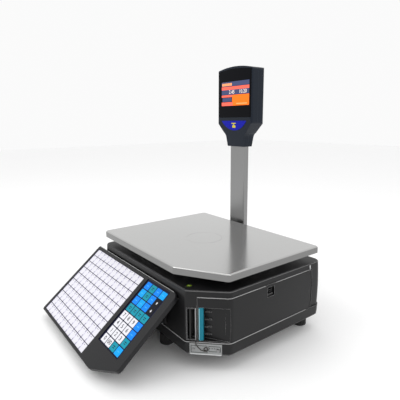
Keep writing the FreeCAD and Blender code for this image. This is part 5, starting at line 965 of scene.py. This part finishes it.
@dataclass
class DisplayHead:
    """Display head: acrylic windows, lit screens on both faces and the badge."""

    screen_shares: Sequence[tuple[str, float, float, float, float]] = (
        ("SLATE", 0.0, 1.0, 0.81, 1.0), ("CORAL", 0.0, 1.0, 0.67, 0.80), ("SLATE", 0.0, 1.0, 0.46, 0.67),
        ("CORAL", 0.0, 0.40, 0.36, 0.45), ("SLATE", 0.03, 0.38, 0.17, 0.34),
        ("ORANGE", 0.40, 1.0, 0.0, 0.45), ("CORAL", 0.0, 0.42, 0.0, 0.15), ("AMBER", 0.55, 0.93, 0.06, 0.10))
    readings: Sequence[tuple[str, float]] = (("2.45", 0.38), ("10.20", 0.78))
    reading_up: float = 0.565
    reading_height: float = 0.15
    ticks: int = 5
    tick_size: tuple[float, float] = (0.055, 0.11)
    first_tick: tuple[float, float] = (0.05, 0.89)
    tick_pitch: float = 0.075
    border: float = 2.5 * MM
    window_recess: float = 0.25 * MM
    patch_recess: float = 0.09 * MM
    patch_step: float = 0.004 * MM
    mark_bars: Sequence[tuple[float, float, float]] = ((15.0, 2.2, 5.4), (3.0, 4.0, 2.6), (11.0, 5.6, -2.2))
    mark_rise: float = 0.55 * MM

    def build(self) -> None:
        """Dress the shells, set the windows in a little and make the screens and the badge's mark."""
        dress(((HEAD_ABS, "display_front_shell display_rear_shell"), (WINDOW_ACRYLIC, "display_windows"),
               (BADGE_BLUE, "display_badge"), (BLACK_NYLON, "lcd_modules")))
        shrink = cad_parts["display_windows"].modifiers.new("window_recess", "DISPLACE")
        shrink.mid_level = 0.0
        shrink.strength = -self.window_recess
        for name, way in (("customer_screen", -1), ("operator_screen", 1)):
            self.screen(name, way)
        self.mark()

    def face(self, way: int) -> Plane:
        """Plane of a window's outer face, from the screen's lower left as its viewer sees it.

        Args:
            way: -1 for the front face and 1 for the rear face.

        Returns:
            The plane.
        """
        window_low, window_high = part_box("display_windows")
        low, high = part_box("lcd_modules")
        y = window_low.y if way < 0 else window_high.y
        x = low.x + self.border if way < 0 else high.x - self.border
        return Plane(Vector((x, y, low.z + self.border)), Vector((-way, 0, 0)), Vector((0, 0, 1)))

    def screen(self, name: str, way: int) -> None:
        """Lit picture of one screen, set into the window's face.

        Args:
            name: The piece's name.
            way: -1 for the front face and 1 for the rear face.
        """
        low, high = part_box("lcd_modules")
        width = high.x - low.x - 2 * self.border
        height = high.z - low.z - 2 * self.border
        plane = self.face(way)
        piece = Piece(name)
        for rank, (light, left, right, bottom, top) in enumerate(self.screen_shares):
            patch = rectangle(width * (right - left), height * (top - bottom), TIGHT, 1,
                              width * (left + right) / 2, height * (bottom + top) / 2)
            piece.slab(plane, patch, -0.4 * MM, self.patch_step * rank - self.patch_recess,
                       ScreenLight[light].value)
        for words, u in self.readings:
            piece.text(plane, words, height * self.reading_height, width * u, height * self.reading_up,
                       -0.05 * MM, ScreenLight.PALE.value)
        for rank in range(self.ticks):
            tick = rectangle(width * self.tick_size[0], height * self.tick_size[1], 0.4 * MM, 2,
                             width * (self.first_tick[0] + self.tick_pitch * rank),
                             height * self.first_tick[1])
            piece.slab(plane, tick, -SUNK, -0.02 * MM, ScreenLight.AMBER.value)
        piece.done("scale_body")

    def mark(self) -> None:
        """Plain yellow pictogram of a scale on the badge."""
        low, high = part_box("display_badge")
        slope = Vector((0, low.y - high.y, high.z - low.z)).normalized()
        plane = Plane((low + high) / 2, Vector((1, 0, 0)), slope)
        piece = Piece("badge_mark")
        for width, height, v in self.mark_bars:
            bar = rectangle(width * MM, height * MM, 0.6 * MM, v=v * MM)
            piece.slab(plane, bar, -0.6 * MM, self.mark_rise, BADGE_YELLOW, 0.05 * MM)
        piece.done("scale_body")


@dataclass
class LabelStation:
    """Label slot, release lever, seal and level at the cut corner."""

    wire: float = 0.75 * MM
    wire_proud: float = 1.1 * MM
    hang: Sequence[tuple[float, float]] = ((0.19, 1.16), (0.20, 0.98), (0.26, 0.72), (0.36, 0.45),
                                           (0.46, 0.38))
    curl: float = 4.2 * MM
    curl_middle: tuple[float, float] = (0.50, 0.56)
    curl_steps: int = 17
    curl_start: float = -110.0
    curl_turn: float = 25.0
    curl_shrink: float = 0.025
    line: float = 1.1 * MM
    print_rise: float = 0.12 * MM
    dash_rise: float = 0.14 * MM
    edge_rise: float = 0.15 * MM
    edge_band: float = 1.4 * MM
    edge_margin: float = 0.5 * MM
    edge_up: float = 1.2 * MM
    dashes: int = 4
    dash_size: tuple[float, float] = (2.8 * MM, 1.2 * MM)
    dash_place: tuple[float, float] = (0.62, 0.62)
    dash_pitch: float = 4.4 * MM
    border: float = 0.5 * MM
    lever_inset: float = 0.7 * MM
    lever_end: float = 1.5 * MM
    lever_line: float = 0.9 * MM
    ring: float = 2.6 * MM
    ring_line: float = 0.14 * MM
    air: float = 1.5 * MM
    air_rise: float = 0.12 * MM
    boxes: Sequence[tuple[float, float, float, float]] = (
        (2.0 * MM, 4.0 * MM, 28.0 * MM, 13.5 * MM), (33.0 * MM, 7.0 * MM, 20.0 * MM, 10.0 * MM))

    def build(self) -> None:
        """Dress the corner's nodes and add the twisted seal wire and the level's bubble."""
        dress(((SLOT_ABS, "slot_frame"), (SHADED_STEEL, "peel_bar"), (LEVER_PP, "release_lever"),
               (ZINC_PLATE, "lever_pin"), (SEAL_STYRENE, "seal_plate"), (POLE_ALUMINIUM, "seal_screws"),
               (SEAL_WIRE, "seal_wire"), (BLACK_NYLON, "level_bezel"), (LEVEL_SPIRIT, "level_vial")))
        self.bubble()
        self.slot_edge()
        self.seal_print()
        self.hanging_wire()

    def slot_edge(self) -> None:
        """Lit right border of the slot's frame and lit left edge of the lever."""
        plane, width, height = corner_plane("slot_frame")
        piece = Piece("slot_edge")
        side = width - self.border
        piece.rod([plane.at(side, 0), plane.at(side, height)], self.border, EDGE_HIGHLIGHT, 8)
        piece.done("scale_body")
        plane, _, height = corner_plane("release_lever")
        piece = Piece("lever_edge")
        inset_by = self.lever_inset
        ends = [plane.at(inset_by, v, -inset_by) for v in (self.lever_end, height - self.lever_end)]
        piece.rod(ends, self.lever_line, LEVER_HIGHLIGHT, 8)
        piece.done("lever")

    def seal_print(self) -> None:
        """Outlined boxes and short dashes printed on the seal plate, and its lit lower edge."""
        plane, width, height = corner_plane("seal_plate")
        piece = Piece("seal_print")
        for left, bottom, wide, tall in self.boxes:
            line = self.line
            for u, v, long, thick in ((left, bottom, wide, line), (left, bottom + tall, wide, line),
                                      (left, bottom, line, tall), (left + wide, bottom, line, tall)):
                corners = ((u, v), (u + long, v), (u + long, v + thick), (u, v + thick))
                piece.slab(plane, [Vector(corner) for corner in corners], -SUNK, self.print_rise,
                           SEAL_PRINT)
        for rank in range(self.dashes):
            u = width * self.dash_place[0] + rank * self.dash_pitch
            bar = rectangle(*self.dash_size, TIGHT, 2, u, height * self.dash_place[1])
            piece.slab(plane, bar, -SUNK, self.dash_rise, SEAL_PRINT)
        # Paler lower edge: painted highlight.
        edge = rectangle(width - 2 * self.edge_margin, self.edge_band, TIGHT, 2, width / 2, self.edge_up)
        piece.slab(plane, edge, -SUNK, self.edge_rise, SEAL_HIGHLIGHT)
        piece.done("scale_body")

    def hanging_wire(self) -> None:
        """Seal wire: it leaves the slot, hangs over the plate and ends in a curl."""
        plane, width, height = corner_plane("seal_plate")
        points = [plane.at(width * u, height * v, self.wire_proud) for u, v in self.hang]
        middle_u, middle_v = width * self.curl_middle[0], height * self.curl_middle[1]
        for step in range(self.curl_steps):
            angle = math.radians(self.curl_start + self.curl_turn * step)
            reach = self.curl * (1 - self.curl_shrink * step)
            points.append(plane.at(middle_u + reach * math.cos(angle), middle_v + reach * math.sin(angle),
                                   self.wire_proud))
        piece = Piece("hanging_seal_wire")
        piece.rod(points, self.wire, SEAL_WIRE, 8)
        piece.done("scale_body", ["seal_wire"])

    def bubble(self) -> None:
        """Air bubble and centring ring on the level."""
        low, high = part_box("level_vial")
        middle = (low + high) / 2
        plane = Plane(Vector((middle.x, middle.y, high.z)), Vector((1, 0, 0)), Vector((0, 1, 0)))
        piece = Piece("level_bubble")
        ring = [plane.at(self.ring * math.cos(a), self.ring * math.sin(a), 0.02 * MM)
                for a in [2 * math.pi * step / 24 for step in range(25)]]
        piece.rod(ring, self.ring_line, BLACK_NYLON, 6)
        dot = [Vector((self.air * math.cos(a), self.air * math.sin(a)))
               for a in [2 * math.pi * step / 20 for step in range(20)]]
        piece.slab(plane, dot, -0.5 * MM, self.air_rise, LEVEL_AIR, 0.1 * MM)
        piece.done("scale_body")


@dataclass
class Casework:
    """Body shells, door, pan, pole and feet."""

    finishes: Sequence[tuple[Finish, str]] = (
        (CHARCOAL_ABS, "base_tray upper_housing printer_door lock_tab pole_bracket"),
        (ZINC_PLATE, "housing_screws door_hinge_pins lock_spring pole_screws"), (PAN_STEEL, "weighing_pan"),
        (POLE_ALUMINIUM, "display_pole"), (BLACK_NYLON, "mains_inlet power_switch"),
        (GALVANISED_STEEL, "port_panel"),
        (FOOT_RUBBER, "levelling_foot_front_left levelling_foot_front_right"),
        (FOOT_RUBBER, "levelling_foot_rear_left levelling_foot_rear_right"))
    seam_drop: float = 1.0 * MM
    rim_drop: float = 5.4 * MM
    door_line: float = 0.55 * MM
    base_line: float = 0.65 * MM
    rim_line: float = 0.4 * MM
    rear_share: float = 0.02
    base_rear_share: float = 0.16
    lift_share: float = 0.6
    shortest: float = 0.05 * MM

    def build(self) -> None:
        """Dress every outer node and draw the lines of painted highlight along its edges."""
        dress(self.finishes)
        low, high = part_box("upper_housing")
        middle = (low + high) / 2
        door_low, door_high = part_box("printer_door")
        self.strip("door_edge", "door", "printer_door", door_high.z - self.seam_drop, self.door_line,
                   self.rear_share, middle, EDGE_HIGHLIGHT)
        self.strip("base_edge", "scale_body", "base_tray", door_low.z - self.seam_drop, self.base_line,
                   self.base_rear_share, middle, EDGE_HIGHLIGHT)
        self.strip("housing_rim", "scale_body", "upper_housing", high.z - self.rim_drop, self.rim_line,
                   self.rear_share, middle, RIM_HIGHLIGHT)

    def strip(self, name: str, body: str, node: str, height: float, radius: float, rear_share: float,
              middle: Vector, finish: Finish) -> None:
        """Lit line along the front, the cut corner and the right side of a moulding.

        Args:
            name: The piece's name.
            body: The body that it rides on.
            node: The moulding.
            height: Height of the slice that gives its run.
            radius: Half of its thickness.
            rear_share: Share of the node's depth, at the rear, that it leaves out.
            middle: A point inside the casework.
            finish: What it is made of.
        """
        low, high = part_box(node)
        rear = high.y - (high.y - low.y) * rear_share
        piece = Piece(name)
        for start, end, out in outer_edges(node, height, middle):
            ahead = out.x > 0.3 or (out.y < -0.3 and start.x > middle.x)
            if start.y > end.y:
                start, end = end, start
            if not ahead or start.y >= rear or (end - start).length < self.shortest:
                continue
            if end.y > rear:
                end = start.lerp(end, (rear - start.y) / (end.y - start.y))
            lift = Vector((0, 0, radius * self.lift_share)) - out * radius
            piece.rod([start + lift, end + lift], radius, finish, 6)
        piece.done(body)


@dataclass
class Workings:
    """Printer, load cell, platform and boards inside the body."""

    finishes: Sequence[tuple[Finish, str]] = (
        (GALVANISED_STEEL, "printer_chassis head_carrier power_supply"),
        (PLATEN_RUBBER, "platen_roller pan_pads"), (BRASS, "motor_pinion"), (POWDER_COAT, "stepper_motor"),
        (ZINC_PLATE, "platen_shaft head_pin cell_base_bolts cell_top_bolts"), (LABEL_PAPER, "label_roll"),
        (ACETAL, "platen_gear idler_gear takeup_spool"), (MILLED_ALUMINIUM, "print_head load_cell"),
        (CORE_BOARD, "roll_core"), (BLACK_NYLON, "roll_spindle"), (CARRIER_PAINT, "platform_carrier"),
        (SOLDER_MASK, "main_board"))

    def build(self) -> None:
        """Dress every inner node."""
        dress(self.finishes)


@dataclass
class Studio:
    """Pale floor, soft lights and the camera."""

    camera_place: tuple[float, float, float] = (0.6449, -0.4401, 0.4275)
    yaw: float = 52.9
    pitch: float = 11.6
    roll: float = -0.4
    lens: float = 34.54
    floor_side: float = 12.0
    floor_colour: str = "#FBFBFB"
    light_all_round: float = 0.96
    aim_height: float = 0.15
    lamps: Sequence[tuple[str, tuple[float, float, float], float, float]] = (
        ("key", (-0.6, -1.3, 1.7), 1.1, 9.0), ("side", (1.6, 0.5, 1.2), 1.0, 3.0),
        ("top", (0.1, 0.1, 2.0), 1.4, 4.0))

    def build(self) -> None:
        """Make the floor, the surrounding light, the lamps and the camera."""
        self.floor()
        self.surround()
        for lamp in self.lamps:
            self.lamp(*lamp)
        self.camera()

    def floor(self) -> None:
        """Large pale floor."""
        half = self.floor_side / 2
        data = bpy.data.meshes.new("floor")
        data.from_pydata([(-half, -half, 0), (half, -half, 0), (half, half, 0), (-half, half, 0)], [],
                         [(0, 1, 2, 3)])
        finish = PaperStock("pale_floor", self.floor_colour, 0.8, 1.45, spread=0.01)
        data.materials.append(finish.material())
        thing = bpy.data.objects.new("floor", data)
        bpy.context.scene.collection.objects.link(thing)

    def surround(self) -> None:
        """Even white light from all round."""
        world = bpy.data.worlds.new("studio")
        world.use_nodes = True
        fill(world.node_tree, world.node_tree.nodes["Background"],
             {"Color": (1.0, 1.0, 1.0, 1.0), "Strength": self.light_all_round})
        bpy.context.scene.world = world
        bpy.context.scene.view_settings.view_transform = "Standard"

    def lamp(self, name: str, place: tuple[float, float, float], size: float, power: float) -> None:
        """Soft square lamp aimed at the scale.

        Args:
            name: The lamp's name.
            place: Where it hangs.
            size: Its side.
            power: Its power in watts.
        """
        data = bpy.data.lights.new(name, "AREA")
        data.size = size
        data.energy = power
        thing = bpy.data.objects.new(name, data)
        thing.location = place
        aim = Vector((0, 0, self.aim_height)) - Vector(place)
        thing.rotation_euler = aim.to_track_quat("-Z", "Y").to_euler()
        bpy.context.scene.collection.objects.link(thing)

    def camera(self) -> None:
        """Camera at a standing customer's height, to the front and right."""
        data = bpy.data.cameras.new("camera")
        data.lens = self.lens
        data.sensor_width = 36.0
        thing = bpy.data.objects.new("camera", data)
        turn = (Matrix.Rotation(math.radians(self.yaw), 4, "Z")
                @ Matrix.Rotation(math.radians(90 - self.pitch), 4, "X")
                @ Matrix.Rotation(math.radians(self.roll), 4, "Z"))
        thing.matrix_world = Matrix.Translation(self.camera_place) @ turn
        bpy.context.scene.collection.objects.link(thing)
        bpy.context.scene.camera = thing


def main() -> None:
    """Build the sub-assemblies in order."""
    logging.basicConfig(level=logging.INFO, format="%(message)s")
    for part in (Casework(), Workings(), LabelStation(), Keypad(), DisplayHead(), Studio()):
        LOG.info("building %s", type(part).__name__)
        part.build()


if __name__ == "__main__":
    main()
